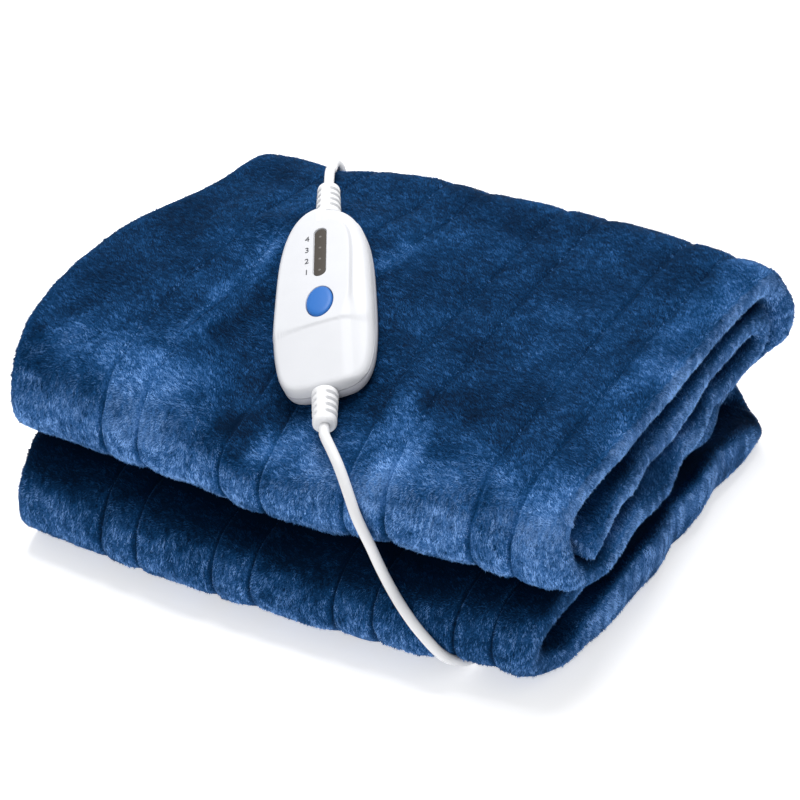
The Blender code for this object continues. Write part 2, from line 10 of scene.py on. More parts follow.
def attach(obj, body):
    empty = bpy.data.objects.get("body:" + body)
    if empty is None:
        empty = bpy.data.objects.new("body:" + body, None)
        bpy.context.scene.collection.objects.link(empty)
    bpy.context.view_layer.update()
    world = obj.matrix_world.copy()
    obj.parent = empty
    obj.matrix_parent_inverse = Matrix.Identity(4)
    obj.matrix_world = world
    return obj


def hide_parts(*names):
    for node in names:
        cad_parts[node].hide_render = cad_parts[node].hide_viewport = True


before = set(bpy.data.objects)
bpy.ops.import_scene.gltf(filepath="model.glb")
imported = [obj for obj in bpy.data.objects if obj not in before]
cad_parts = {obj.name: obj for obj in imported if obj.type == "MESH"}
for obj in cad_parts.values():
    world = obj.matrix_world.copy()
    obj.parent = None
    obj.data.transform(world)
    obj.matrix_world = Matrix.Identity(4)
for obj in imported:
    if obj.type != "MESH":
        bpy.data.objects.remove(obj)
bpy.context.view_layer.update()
scene = bpy.context.scene


# shared helpers

def addObject(name, data):
    thing = bpy.data.objects.new(name, data)
    scene.collection.objects.link(thing)
    return thing


def meshFrom(name, bm):
    mesh = bpy.data.meshes.new(name)
    bm.to_mesh(mesh)
    bm.free()
    return mesh


def takeMesh(thing):
    # an object's mesh with its modifiers, or a text as a mesh; the object itself goes
    bpy.context.view_layer.update()
    ready = thing.evaluated_get(bpy.context.evaluated_depsgraph_get())
    mesh = bpy.data.meshes.new_from_object(ready)
    bpy.data.objects.remove(thing, do_unlink=True)
    bm = bmesh.new()
    bm.from_mesh(mesh)
    bpy.data.meshes.remove(mesh)
    return bm


def declare(piece, body, slot, stands=()):
    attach(piece, body)
    if stands:
        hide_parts(*stands)


def finishPiece(name, bm, material, body, slot, stands=(), smooth=True, sharp=None):
    # sharp is the angle in degrees from which an edge stays sharp in smooth shading
    bmesh.ops.recalc_face_normals(bm, faces=bm.faces[:])
    mesh = meshFrom(name, bm)
    mesh.materials.append(material)
    if smooth:
        mesh.shade_smooth()
    if sharp:
        mesh.set_sharp_from_angle(angle=radians(sharp))
    piece = addObject(name, mesh)
    declare(piece, body, slot, stands)
    return piece


def fillHoles(bm):
    edges = [edge for edge in bm.edges if edge.is_boundary]
    filled = bmesh.ops.holes_fill(bm, edges=edges, sides=0)
    bmesh.ops.triangulate(bm, faces=filled["faces"], ngon_method="EAR_CLIP")


def ringGrid(around, rows, place):
    # a closed skin through rings: place(share of the way round, row) gives each point
    bm = bmesh.new()
    bmesh.ops.create_grid(bm, x_segments=around, y_segments=len(rows) - 1, size=1.0)
    bm.verts.ensure_lookup_table()
    for index, vert in enumerate(bm.verts):
        ring, column = divmod(index, around + 1)
        vert.co = place(column % around / around, rows[ring])
    bmesh.ops.remove_doubles(bm, verts=bm.verts[:], dist=1e-6)
    fillHoles(bm)
    return bm


def softStep(value, low, high):
    t = np.clip((value - low) / (high - low), 0, 1)
    return t * t * (3 - 2 * t)


def signedPower(value, power):
    return abs(value) ** power * (1 if value > 0 else -1)


def unit(vectors):
    return vectors / np.maximum(np.linalg.norm(vectors, axis=1), 1e-12)[:, None]


class NodeBook:
    # a short way to write a node tree, with inputs given by their name or number
    def __init__(self, tree):
        self.tree = tree

    def add(self, kind, inputs=(), **settings):
        node = self.tree.nodes.new(kind)
        for key, value in settings.items():
            setattr(node, key, value)
        self.feed(node, inputs)
        return node

    def feed(self, node, inputs):
        for key, value in dict(inputs).items():
            target = node.inputs[key]
            if isinstance(value, bpy.types.NodeSocket):
                self.tree.links.new(value, target)
            elif target.type == "RGBA" and len(value) == 3:
                target.default_value = (*value, 1.0)
            else:
                target.default_value = value

    def where(self):
        return self.add("ShaderNodeTexCoord").outputs["Object"]

    def cloud(self, where, scale, detail, distortion=0.0):
        node = self.add("ShaderNodeTexNoise", {"Vector": where, "Scale": scale, "Detail": detail,
                                               "Distortion": distortion})
        return node.outputs["Fac"]

    def math(self, operation, *values):
        node = self.add("ShaderNodeMath", enumerate(values), operation=operation)
        return node.outputs["Value"]

    def bump(self, strength, distance, height):
        node = self.add("ShaderNodeBump", {"Strength": strength, "Distance": distance, "Height": height})
        return node.outputs["Normal"]


def newMaterial(name):
    material = bpy.data.materials.new(name)
    material.use_nodes = True
    return material, NodeBook(material.node_tree), material.node_tree.nodes["Principled BSDF"]


def newGroup(name, inputs, outputs):
    group = bpy.data.node_groups.new(name, "ShaderNodeTree")
    for label, kind in inputs:
        group.interface.new_socket(name=label, in_out="INPUT", socket_type="NodeSocket" + kind)
    for label, kind in outputs:
        group.interface.new_socket(name=label, in_out="OUTPUT", socket_type="NodeSocket" + kind)
    book = NodeBook(group)
    return book, book.add("NodeGroupInput").outputs, book.add("NodeGroupOutput")


# camera, floor and studio light

view = {
    "place": (0.6272, -1.2352, 0.9891), "target": (0.0, 0.0, 0.06),
    "lens": 117.0, "sensor": 36.0, "shift": (-0.0006, 0.0044), "nearest": 0.05,
}
studio = {
    "worldStrength": 0.45,
    # each light's place, size and power
    "keyLight": ((-0.25, 0.45, 1.65), 1.3, 34.0),
    "fillLight": ((0.45, -1.75, 0.95), 1.5, 6.5),
    "floorSize": 6.0, "floorColour": (0.93, 0.93, 0.935), "floorGlow": 0.50,
}


def placeCamera():
    cameraData = bpy.data.cameras.new("camera")
    cameraData.lens = view["lens"]
    cameraData.sensor_width = view["sensor"]
    cameraData.shift_x, cameraData.shift_y = view["shift"]
    cameraData.clip_start = view["nearest"]
    camera = addObject("camera", cameraData)
    camera.location = view["place"]
    looking = Vector(view["target"]) - Vector(view["place"])
    camera.rotation_euler = looking.to_track_quat("-Z", "Y").to_euler()
    scene.camera = camera


def addAreaLight(name, place, size, power):
    lightData = bpy.data.lights.new(name, "AREA")
    lightData.shape = "DISK"
    lightData.size = size
    lightData.energy = power
    light = addObject(name, lightData)
    light.location = place
    light.rotation_euler = (-Vector(place)).to_track_quat("-Z", "Y").to_euler()


def buildStudio():
    world = bpy.data.worlds.new("studio")
    world.use_nodes = True
    NodeBook(world.node_tree).feed(world.node_tree.nodes["Background"],
                                   {"Color": (1.0, 1.0, 1.0), "Strength": studio["worldStrength"]})
    scene.world = world
    scene.view_settings.view_transform = "Standard"
    addAreaLight("keyLight", *studio["keyLight"])
    addAreaLight("fillLight", *studio["fillLight"])
    bm = bmesh.new()
    bmesh.ops.create_grid(bm, x_segments=1, y_segments=1, size=studio["floorSize"])
    floor = addObject("floor", meshFrom("floor", bm))
    paint, book, shader = newMaterial("pale floor")
    book.feed(shader, {"Base Color": studio["floorColour"], "Roughness": 0.9, "Specular IOR Level": 0.1,
                       "Emission Color": (1.0, 1.0, 1.0), "Emission Strength": studio["floorGlow"]})
    floor.data.materials.append(paint)


placeCamera()
buildStudio()
print("camera, floor and lights are set")


# moulded plastic and metal

def buildGrainGroup():
    # the fine grain of moulded plastic, and a broad unevenness in its colour and gloss
    book, given, result = newGroup(
        "mouldedGrain",
        [("Colour", "Color"), ("Grain Size", "Float"), ("Grain Depth", "Float"), ("Rough", "Float")],
        [("Colour", "Color"), ("Roughness", "Float"), ("Normal", "Vector")])
    where = book.where()
    fine = book.cloud(where, given["Grain Size"], 3.0)
    broad = book.cloud(where, 45.0, 4.0)
    shade = book.add("ShaderNodeMapRange", {"Value": broad, "From Min": 0.3, "From Max": 0.7,
                                            "To Min": 0.965, "To Max": 1.0})
    tone = book.add("ShaderNodeMix", {"Factor": 1.0, 6: given["Colour"], 7: shade.outputs["Result"]},
                    data_type="RGBA", blend_type="MULTIPLY")
    book.feed(result, {"Colour": tone.outputs[2],
                       "Roughness": book.math("MULTIPLY_ADD", broad, 0.12, given["Rough"]),
                       "Normal": book.bump(given["Grain Depth"], 0.0002, fine)})
    return book.tree


grainGroup = buildGrainGroup()


def plastic(name, colour, rough, grainSize=900.0, grainDepth=0.15, metallic=0.0, gloss=0.5):
    material, book, shader = newMaterial(name)
    grain = book.add("ShaderNodeGroup", {"Colour": colour, "Grain Size": grainSize,
                                         "Grain Depth": grainDepth, "Rough": rough},
                     node_tree=grainGroup).outputs
    book.feed(shader, {"Base Color": grain["Colour"], "Roughness": grain["Roughness"],
                       "Normal": grain["Normal"], "Metallic": metallic, "Specular IOR Level": gloss})
    return material


shellWhite = plastic("shellWhite", (0.63, 0.64, 0.67), 0.40, gloss=0.22)
# the same white plastic painted darker grey, as painted shade on the lower shell's wall
shellWhitePaintedShade = plastic("shellWhitePaintedShade", (0.43, 0.44, 0.49), 0.45, gloss=0.2)
buttonBlue = plastic("buttonBlue", (0.022, 0.140, 0.46), 0.38, gloss=0.3)
windowSmoked = plastic("windowSmoked", (0.070, 0.062, 0.054), 0.30, grainDepth=0.03, gloss=0.12)
lampGrey = plastic("lampGrey", (0.16, 0.15, 0.14), 0.4, gloss=0.2)
leadWhite = plastic("leadWhite", (0.77, 0.775, 0.79), 0.42, grainSize=600.0, gloss=0.35)
printGrey = plastic("printGrey", (0.03, 0.03, 0.04), 0.5, grainDepth=0.05)
tieBlack = plastic("tieBlack", (0.02, 0.02, 0.022), 0.5)
bladeMetal = plastic("bladeMetal", (0.80, 0.76, 0.66), 0.18, grainSize=1500.0, metallic=1.0)


# the hand controller, in its own axes: x right, y to its far end, z out of its face

controller = {
    "place": (-0.0218, -0.0490, 0.1486), "heading": 27.3, "pitch": 13.0, "roll": 19.0,
    "length": 0.151, "width": 0.0620, "narrower": 0.98, "taper": 0.105,
    "squareness": 3.1, "squarer": 0.4, "squarerLow": 2.2,
    "split": 0.0085, "gap": 0.0003, "around": 168, "faceHeight": 0.0240, "crown": 0.0018,
}
# the sloped face below the button starts with a small step
lowerFace = {"edge": -0.0290, "tilt": 0.05, "slope": 0.135, "bend": 0.0010,
             "step": 0.0009, "stepSpan": (-0.0006, 0.0016)}
# the raised field round the window and the button, and the flank to its right
keypad = {"right": 0.0195, "top": 0.0600, "bendsFrom": 0.018, "bendPower": 3.4, "rise": 0.0028,
          "crisp": 0.0010, "softer": 0.0055, "softSpan": (0.004, 0.030), "flankSlope": 0.24}
# the rounding of the rim, which is less at the lower end
shoulder = {"depth": 0.0052, "lowDepth": 0.0030, "start": 0.885, "lowStart": 0.060,
            "lowSpan": (0.45, 0.95)}
button = {
    "place": (0.0004, -0.0118), "size": (0.0168, 0.0248), "foot": 0.0165, "travel": 0.0010,
    "rise": 0.0010, "clearance": 0.0004, "lip": 0.0006, "around": 72,
}
window = {"place": (0.0, 0.0315), "size": (0.0085, 0.0420), "depth": 0.0012, "around": 64}
lamps = {"first": 0.0452, "pitch": 0.0098, "radius": 0.0009, "flatness": 0.22, "rise": 0.0001}
numbers = {"size": 0.0062, "thickness": 0.00008, "gap": 0.0026, "rise": 0.00012}
relief = {"lower": 0.026, "upper": 0.027, "height": 0.0100, "radii": (0.0082, 0.0072),
          "ribs": 4, "firstRib": 0.15, "ribPitch": 0.19, "around": 48}

controllerPlaced = (Matrix.Translation(controller["place"])
                    @ Matrix.Rotation(radians(controller["heading"]), 4, "Z")
                    @ Matrix.Rotation(radians(controller["pitch"]), 4, "X")
                    @ Matrix.Rotation(radians(-controller["roll"]), 4, "Y"))


def outlinePoint(share, grow=0.0):
    # an oval that is squarer at its lower end
    angle = 2 * pi * share
    squarer = controller["squarer"] * sin(angle) * (controller["squarerLow"] if sin(angle) < 0 else 1.0)
    power = 2 / (controller["squareness"] - squarer)
    across, along = signedPower(cos(angle), power), signedPower(sin(angle), power)
    wide, long = controller["width"] / 2 + grow, controller["length"] / 2 + grow
    return wide * across * controller["narrower"] * (1 - controller["taper"] * along), long * along


def faceHeight(x, y):
    across = x / (controller["width"] / 2)
    height = controller["faceHeight"] - controller["crown"] * across ** 2
    below = lowerFace["edge"] - y + lowerFace["tilt"] * x
    height -= lowerFace["slope"] * (below + sqrt(below * below + lowerFace["bend"] ** 2)) / 2
    height -= lowerFace["step"] * softStep(below, *lowerFace["stepSpan"])
    top = max(y - keypad["bendsFrom"], 0.0) / (keypad["top"] - keypad["bendsFrom"])
    beyond = x - keypad["right"] * max(1.0 - top ** keypad["bendPower"], 0.0) ** (1 / 3)
    crisp = keypad["crisp"] + keypad["softer"] * softStep(-y, *keypad["softSpan"])
    height += keypad["rise"] * softStep(-beyond, -crisp, crisp) - keypad["rise"]
    return height - keypad["flankSlope"] * max(beyond, 0.0)


def shoulderDrop(share, around):
    # how far the rim has rounded down at a share of the way out to the outline
    low = softStep(-sin(2 * pi * around), *shoulder["lowSpan"])
    depth = shoulder["depth"] - shoulder["lowDepth"] * low
    start = shoulder["start"] + shoulder["lowStart"] * low
    t = max(share - start, 0.0) / (1 - start)
    return depth * (1 - sqrt(max(1 - t * t, 0.0)))


def ovalPoint(share, size):
    # on an oval about the button's middle
    angle = 2 * pi * share
    return (button["place"][0] + size[0] / 2 * cos(angle),
            button["place"][1] + size[1] / 2 * sin(angle))


def slotPoint(share, row):
    # on the window's outline made narrower, at a height
    narrower, height = row
    angle = 2 * pi * (share + 0.5 / window["around"])
    radius = window["size"][0] / 2 - narrower
    reach = (window["size"][1] - window["size"][0]) / 2
    return (window["place"][0] + radius * cos(angle),
            window["place"][1] + radius * sin(angle) + (reach if sin(angle) > 0 else -reach), height)


def finishOnController(name, bm, material, body, slot, stands=(), **shading):
    bmesh.ops.transform(bm, matrix=controllerPlaced, verts=bm.verts[:])
    return finishPiece(name, bm, material, body, slot, stands, **shading)


def buildShellTop():
    roomy = [size + 2 * button["clearance"] for size in button["size"]]
    base = controller["split"] + controller["gap"]
    inner = 0.45
    rows = [("well", button["foot"] + 0.0002), ("well", None), ("lip", button["lip"])]
    rows += [("inner", i / 12) for i in range(1, 13)]
    rows += [("face", inner + (1 - inner) * (i / 44) ** 0.85) for i in range(1, 44)]
    rows += [("wall", 1.0), ("wall", 0.5), ("wall", 0.0), ("foot", None)]

    def onFace(point, drop=0.0):
        return (*point, faceHeight(*point) - drop)

    def place(share, row):
        kind, value = row
        outline = outlinePoint(share)
        if kind == "well":
            point = ovalPoint(share, roomy)
            return (*point, value) if value else onFace(point, 0.0004)
        if kind == "lip":
            return onFace(ovalPoint(share, [size + value for size in roomy]))
        if kind == "inner":
            near = ovalPoint(share, [size + 2 * button["lip"] for size in roomy])
            return onFace([a + (inner * b - a) * value for a, b in zip(near, outline)])
        if kind == "face":
            return onFace([part * value for part in outline], shoulderDrop(value, share))
        if kind == "wall":
            top = faceHeight(*outline) - shoulderDrop(1.0, share)
            return (*outline, base + 0.0006 + (top - 0.0008 - base) * value)
        return (*outlinePoint(share, -0.0005), base)

    bm = ringGrid(controller["around"], rows, place)
    bmesh.ops.recalc_face_normals(bm, faces=bm.faces[:])
    shell = addObject("shellTop", meshFrom("shellTop", bm))

    # the window's recess, wider at its edge
    face = faceHeight(*window["place"])
    bm = ringGrid(window["around"], ((0.0, face - window["depth"]), (0.0, face - 0.0004),
                                     (-0.0006, face + 0.0004), (-0.0030, face + 0.004)), slotPoint)
    bmesh.ops.recalc_face_normals(bm, faces=bm.faces[:])
    cutter = addObject("windowCutter", meshFrom("windowCutter", bm))
    recess = shell.modifiers.new("recess", "BOOLEAN")
    recess.operation = "DIFFERENCE"
    recess.object = cutter
    bm = takeMesh(shell)
    bpy.data.objects.remove(cutter, do_unlink=True)
    finishOnController("shellTopMoulded", bm, shellWhite, "base", "shell", ["shell_top"], sharp=38)


def buildShellBottom():
    # rows of how far outside the outline, and height
    split = controller["split"]
    rows = ((-0.0075, 0.0), (-0.0040, 0.0004), (-0.0018, 0.0014), (-0.0005, 0.0032), (0.0, 0.0055),
            (0.0, split - 0.0005), (-0.0005, split))
    bm = ringGrid(controller["around"], rows,
                  lambda share, row: (*outlinePoint(share, row[0]), row[1]))
    # the lower shell wears the white plastic painted darker, as painted shade
    finishOnController("shellBottomMoulded", bm, shellWhitePaintedShade, "base", "shell", ["shell_bottom"],
                       sharp=50)


def buildWindow():
    face = faceHeight(*window["place"])
    top = face - 0.0005
    rows = ((0.0006, face - window["depth"] + controller["gap"]), (0.0004, top - 0.0003),
            (0.0007, top), (0.0022, top + 0.00012), (0.0040, top + 0.00016))
    bm = ringGrid(window["around"], rows, slotPoint)
    finishOnController("windowLens", bm, windowSmoked, "base", "window", ["display_window"], sharp=40)
    return top


def buildLampsAndNumbers(windowTop):
    for number in (4, 3, 2, 1):
        y = lamps["first"] - lamps["pitch"] * (4 - number)
        bm = bmesh.new()
        bmesh.ops.create_uvsphere(bm, u_segments=20, v_segments=8, radius=lamps["radius"])
        bmesh.ops.scale(bm, vec=(1.0, 1.0, lamps["flatness"]), verts=bm.verts[:])
        middle = (window["place"][0], y, windowTop + lamps["rise"])
        bmesh.ops.translate(bm, vec=middle, verts=bm.verts[:])
        finishOnController("lamp_%d" % number, bm, lampGrey, "base", "window")

        writing = bpy.data.curves.new("number_%d" % number, "FONT")
        writing.body = str(number)
        writing.size = numbers["size"]
        writing.extrude = numbers["thickness"]
        writing.align_x = "RIGHT"
        writing.align_y = "CENTER"
        bm = takeMesh(addObject("numberText", writing))
        x = window["place"][0] - window["size"][0] / 2 - numbers["gap"]
        height = faceHeight(x - 0.002, y) + numbers["rise"]
        bmesh.ops.translate(bm, vec=(x, y, height), verts=bm.verts[:])
        finishOnController("number_%d" % number, bm, printGrey, "base", "tie", smooth=False)


def buildButton():
    # rows of share of the size, and height: a rounded edge and a slightly domed face
    foot = button["foot"] + button["travel"] + button["clearance"]
    face = faceHeight(*button["place"]) + button["rise"]
    rows = [(1.0, foot), (1.0, face - 0.0016), (0.985, face - 0.0010), (0.955, face - 0.0006),
            (0.90, face - 0.00025)]
    rows += [(share, face + 0.00055 * (1 - share * share) - 0.0001)
             for share in (0.8, 0.65, 0.5, 0.35, 0.2, 0.08)]
    bm = ringGrid(button["around"], rows, lambda share, row: (
        *ovalPoint(share, [row[0] * size for size in button["size"]]), row[1]))
    finishOnController("buttonMoulded", bm, buttonBlue, "button", "button", ["button"], sharp=55)


def buildRelief(name, way, length, node):
    # ribs run round the flanks and leave a smooth strip along the top and the bottom
    start = controller["length"] / 2 + controller["gap"]
    rows = [(0.0, 0.90), (0.03, 0.985), (0.06, 1.0)]
    for rib in range(relief["ribs"]):
        at = relief["firstRib"] + relief["ribPitch"] * rib
        rows += [(at, 1.0), (at + 0.012, 0.93), (at + 0.035, 0.78), (at + 0.065, 0.78),
                 (at + 0.088, 0.93), (at + 0.10, 1.0)]
    rows += [(0.93, 1.0), (0.97, 0.97), (1.0, 0.88), (1.0, 0.62)]

    def place(share, row):
        at, size = row
        angle = 2 * pi * share
        flank = softStep(abs(cos(angle)), 0.30, 0.62)
        radius = relief["radii"][0] + (relief["radii"][1] - relief["radii"][0]) * at
        radius *= 1 - (1 - size) * (flank if 0.1 < at < 0.9 else 1.0)
        return (radius * cos(angle), way * (start + length * at),
                relief["height"] - way * radius * sin(angle))

    bm = ringGrid(relief["around"], rows, place)
    return finishOnController(name, bm, leadWhite, "base", "lead", [node], sharp=45)


buildShellTop()
buildShellBottom()
windowTop = buildWindow()
buildLampsAndNumbers(windowTop)
buildButton()
reliefLower = buildRelief("reliefLowerRibbed", -1, relief["lower"], "relief_lower")
reliefUpper = buildRelief("reliefUpperRibbed", 1, relief["upper"], "relief_upper")
print("the hand controller is built")


# the lead: both routes start at a strain relief, and their points lie on the cord's middle

lead = {"diameter": 0.0065, "spacing": 0.0035, "frontLength": 0.21, "mainsLength": 1.68}
frontRoute = (
    # over the front shoulder
    (0.0325, -0.1530, 0.1300), (0.0402, -0.1590, 0.1253), (0.0468, -0.1640, 0.1188),
    (0.0527, -0.1680, 0.1107), (0.0579, -0.1706, 0.1017),
    # across the gap between the bundles
    (0.0630, -0.1710, 0.0918), (0.0672, -0.1701, 0.0820), (0.0712, -0.1694, 0.0720),
    (0.0758, -0.1694, 0.0630), (0.0818, -0.1708, 0.0550), (0.0882, -0.1738, 0.0500),
    # down the lower bundle and in under its front roll
    (0.0943, -0.1762, 0.0455), (0.1000, -0.1775, 0.0406), (0.1052, -0.1780, 0.0360),
    (0.1100, -0.1779, 0.0314), (0.1142, -0.1764, 0.0262), (0.1178, -0.1731, 0.0209),
    (0.1206, -0.1674, 0.0156), (0.1226, -0.1610, 0.0109), (0.1240, -0.1538, 0.0075),
    (0.1251, -0.1472, 0.0050), (0.1260, -0.1405, 0.0039), (0.1266, -0.1355, 0.0037),
)
rearRoute = (
    # back over the top and its edge
    (-0.0787, 0.0545, 0.1812), (-0.0842, 0.0655, 0.1768), (-0.0900, 0.0770, 0.1702),
    (-0.0960, 0.0890, 0.1630), (-0.1024, 0.1020, 0.1560), (-0.1095, 0.1160, 0.1500),
    (-0.1165, 0.1305, 0.1424), (-0.1226, 0.1440, 0.1350), (-0.1277, 0.1570, 0.1258),
    (-0.1314, 0.1674, 0.1170), (-0.1330, 0.1730, 0.1040), (-0.1338, 0.1752, 0.0900),
    # down behind, onto the floor and to the coil
    (-0.1342, 0.1762, 0.0750), (-0.1344, 0.1772, 0.0600), (-0.1346, 0.1795, 0.0450),
    (-0.1348, 0.1845, 0.0315), (-0.1350, 0.1925, 0.0195), (-0.1348, 0.2030, 0.0110),
    (-0.1338, 0.2150, 0.0060), (-0.1310, 0.2280, 0.0045), (-0.1256, 0.2434, 0.0050),
)
tailRoute = (
    (-0.0419, 0.2853, 0.0092), (-0.0300, 0.2787, 0.0063), (-0.0190, 0.2718, 0.0052),
    (-0.0090, 0.2670, 0.0060), (0.0005, 0.2652, 0.0075), (0.0091, 0.2650, 0.0080),
)
coil = {"place": (-0.0830, 0.2620), "middle": 0.0750, "lift": 0.0010,
        "start": 180.0, "sweep": 1920.0, "pitch": 10.0, "stepOver": 320.0, "easing": 20.0}
plug = {
    "place": (0.0100, 0.2650, 0.0080), "size": (0.0280, 0.0250, 0.0158), "squareness": 0.7,
    "relief": 0.0220, "ribs": 4, "ribPitch": 0.0048, "ribGrow": 0.35, "around": 48,
}


def reliefExit(way, length):
    end = controller["length"] / 2 + controller["gap"] + length + controller["gap"]
    return [tuple(controllerPlaced @ Vector((0, way * (end + more), relief["height"])))
            for more in (0, lead["diameter"])]


def coilTurns():
    # six slots, two wide and three high, each left for the next by an easy step sideways or up
    half = lead["diameter"] / 2
    outer, inner = coil["middle"] / 2 + half, coil["middle"] / 2 - half
    low = coil["lift"] + half
    slots = [(outer, low), (inner, low), (inner, low + 2 * half), (inner, low + 4 * half),
             (outer, low + 4 * half), (outer, low + 2 * half)]
    points = []
    for turned in np.linspace(0.0, coil["sweep"], int(coil["sweep"] / coil["pitch"]) + 1):
        radius, height = slots[0]
        for k in range(1, len(slots)):
            share = softStep(turned, coil["stepOver"] * k - coil["easing"],
                             coil["stepOver"] * k + coil["easing"])
            radius += (slots[k][0] - slots[k - 1][0]) * share
            height += (slots[k][1] - slots[k - 1][1]) * share
        angle = radians(coil["start"] - turned)
        points.append((coil["place"][0] + radius * cos(angle),
                       coil["place"][1] + radius * sin(angle), height))
    return points


def smoothRoute(route):
    knots = [Vector(point) for point in route]
    fine = []
    for i in range(len(knots) - 1):
        before, after = knots[max(i - 1, 0)], knots[min(i + 2, len(knots) - 1)]
        out = knots[i] + (knots[i + 1] - before) / 6
        into = knots[i + 1] - (after - knots[i]) / 6
        count = max(int((knots[i + 1] - knots[i]).length / lead["spacing"] + 0.5), 1) + 1
        fine += interpolate_bezier(knots[i], out, into, knots[i + 1], count)[:-1]
    return fine + [knots[-1]]


def buildCord(name, route, stands):
    curve = bpy.data.curves.new(name, "CURVE")
    curve.dimensions = "3D"
    curve.bevel_depth = lead["diameter"] / 2
    curve.bevel_resolution = 5
    curve.use_fill_caps = True
    points = smoothRoute(route)
    spline = curve.splines.new("POLY")
    spline.points.add(len(points) - 1)
    for spot, point in zip(spline.points, points):
        spot.co = (*point, 1.0)
    spline.use_smooth = True
    curve.materials.append(leadWhite)
    cord = addObject(name, curve)
    declare(cord, "base", "lead", stands)
    length = sum((b - a).length for a, b in zip(points, points[1:]))
    print(name, "is", round(length, 3), "m long")
    return cord


def buildPlug():
    # rows of place along the plug, width and height
    long, wide, high = plug["size"]
    cord, start = lead["diameter"], plug["relief"]
    rows = [(0.0, 1.20 * cord, 1.20 * cord)]
    for rib in range(plug["ribs"]):
        at = 0.002 + plug["ribPitch"] * rib
        grow = 1 + plug["ribGrow"] * at / start
        rows += [(at + step, across * cord * grow, tall * cord * grow) for step, across, tall in (
            (0.0, 1.25, 1.22), (0.0006, 1.06, 1.04), (0.0018, 1.06, 1.04), (0.0024, 1.25, 1.22))]
    rows += [(start, 1.75 * cord, 1.65 * cord), (start + 0.002, 0.74 * wide, 0.80 * high),
             (start + 0.006, 0.90 * wide, 0.95 * high), (start + 0.012, wide, high),
             (start + long - 0.0020, wide, high), (start + long - 0.0006, 0.985 * wide, 0.97 * high),
             (start + long, 0.94 * wide, 0.92 * high)]

    def place(share, row):
        angle = 2 * pi * share
        return (plug["place"][0] + row[0],
                plug["place"][1] + row[1] / 2 * signedPower(cos(angle), plug["squareness"]),
                plug["place"][2] + row[2] / 2 * signedPower(sin(angle), plug["squareness"]))

    bm = ringGrid(plug["around"], rows, place)
    return finishPiece("plugMoulded", bm, leadWhite, "base", "lead", ["plug_body"], sharp=40)


def dressNode(name, material):
    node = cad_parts[name]
    node.data.materials.clear()
    node.data.materials.append(material)
    return node


plugBody = buildPlug()
bladeLeft = dressNode("plug_blade_left", bladeMetal)
bladeRight = dressNode("plug_blade_right", bladeMetal)
tie = dressNode("coil_tie", tieBlack)
frontStart = reliefExit(-1, relief["lower"])
mainsStart = reliefExit(1, relief["upper"])
leadFront = buildCord("leadFront", [*frontStart, *frontRoute], ["lead_front"])
leadMains = buildCord("leadMains", [*mainsStart, *rearRoute[:-1], *coilTurns(), *tailRoute],
                      ["lead_rear", "lead_coil", "lead_tail"])
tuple(frontStart[0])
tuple(mainsStart[0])
print("the lead, its coil and the plug are built")


# the folded blanket: the same section as its solid, with finer seams, creases and an uneven top

blanket = {
    "width": 0.380, "depth": 0.345, "height": 0.140, "ply": 0.0088, "plyGap": 0.0016,
    "seamFirst": -0.1215, "seamPitch": 0.0838, "seamPair": 0.0272, "seamPairs": 4,
    "seamDepth": 0.0022, "seamHalfWidth": 0.0016, "stitchHalfWidth": 0.0014,
    "pillow": 0.0014, "pillowReach": 0.010, "pillowEnd": 0.176, "topShallower": 0.45,
    "columnStep": 0.0048, "nearSeam": (-0.0050, -0.0022, -0.0010, 0.0, 0.0010, 0.0022, 0.0050),
    "seamClear": 0.0075, "rimSteps": 14, "rimSpan": 0.030, "endSlim": 0.55,
    "rimWave": 0.0090, "rimCalm": 0.85, "waveSizes": (0.045, 0.030), "crumple": 0.0012,
    # heights between which a change sets in: calm top, calm rims, bed, above the floor
    "topSpan": (0.112, 0.128), "calmSpan": (0.100, 0.118), "bedSpan": (0.095, 0.115),
    "floorSpan": (0.002, 0.012),
    "flatSize": (1.27, 1.52),
}
folds = (
    # height, front, back, side of the next fold, its reach, rims, swell, steps in layer and fold
    (0.1010, -0.138, 0.124, "back", 0.020, 0.004, -0.009, 0.0, 16, 14),
    (0.0785, -0.122, 0.124, "front", 0.034, 0.006, -0.005, 0.0, 16, 40),
    (0.1290, -0.122, 0.118, "back", 0.044, -0.006, -0.005, 0.0, 70, 44),
    (0.0540, -0.128, 0.118, "front", 0.032, -0.003, -0.004, 0.0, 24, 36),
    (0.0096, -0.128, 0.140, "back", 0.018, 0.004, 0.007, 0.030, 16, 12),
    (0.0320, -0.105, 0.140, "", 0.0, -0.030, -0.026, 0.0, 14, 0),
)
sag = {
    # outward pushes in millimetres at even places along each side: upper, then lower bundle
    "front": ((-6, 0, 1, 0, -6), (2, 10, 11, 6, -6)),
    "back": ((-8, 3, 5, 8, 1), (-8, 0, 0, 0, 0)),
    "left": ((-5, 5, 3, -10, -20), (-11, -2, 0, -6, -16)),
    "right": ((-10, -1, 2, 5, 14), (-20, -8, -2, 0, -5)),
    # how much higher the top lies than a flat one: rows from the front, values from the left
    "top": ((-2, -5, -7, -7, -8), (9, 7, 5, 3, 0), (6, 11, 10, 6, 2), (-3, 8, 7, 5, 1),
            (-3, 1, 2, 3, -1)),
}
bed = {
    "spread": 0.055, "margin": 0.009, "gap": 0.0007, "rise": 0.008,
    "dentPlace": (-0.1170, 0.1500), "dentSpread": 0.030, "dentDepth": 0.0085,
    "entryPlace": (0.1235, -0.1450), "entrySpread": 0.026, "entryLift": 0.0090,
}
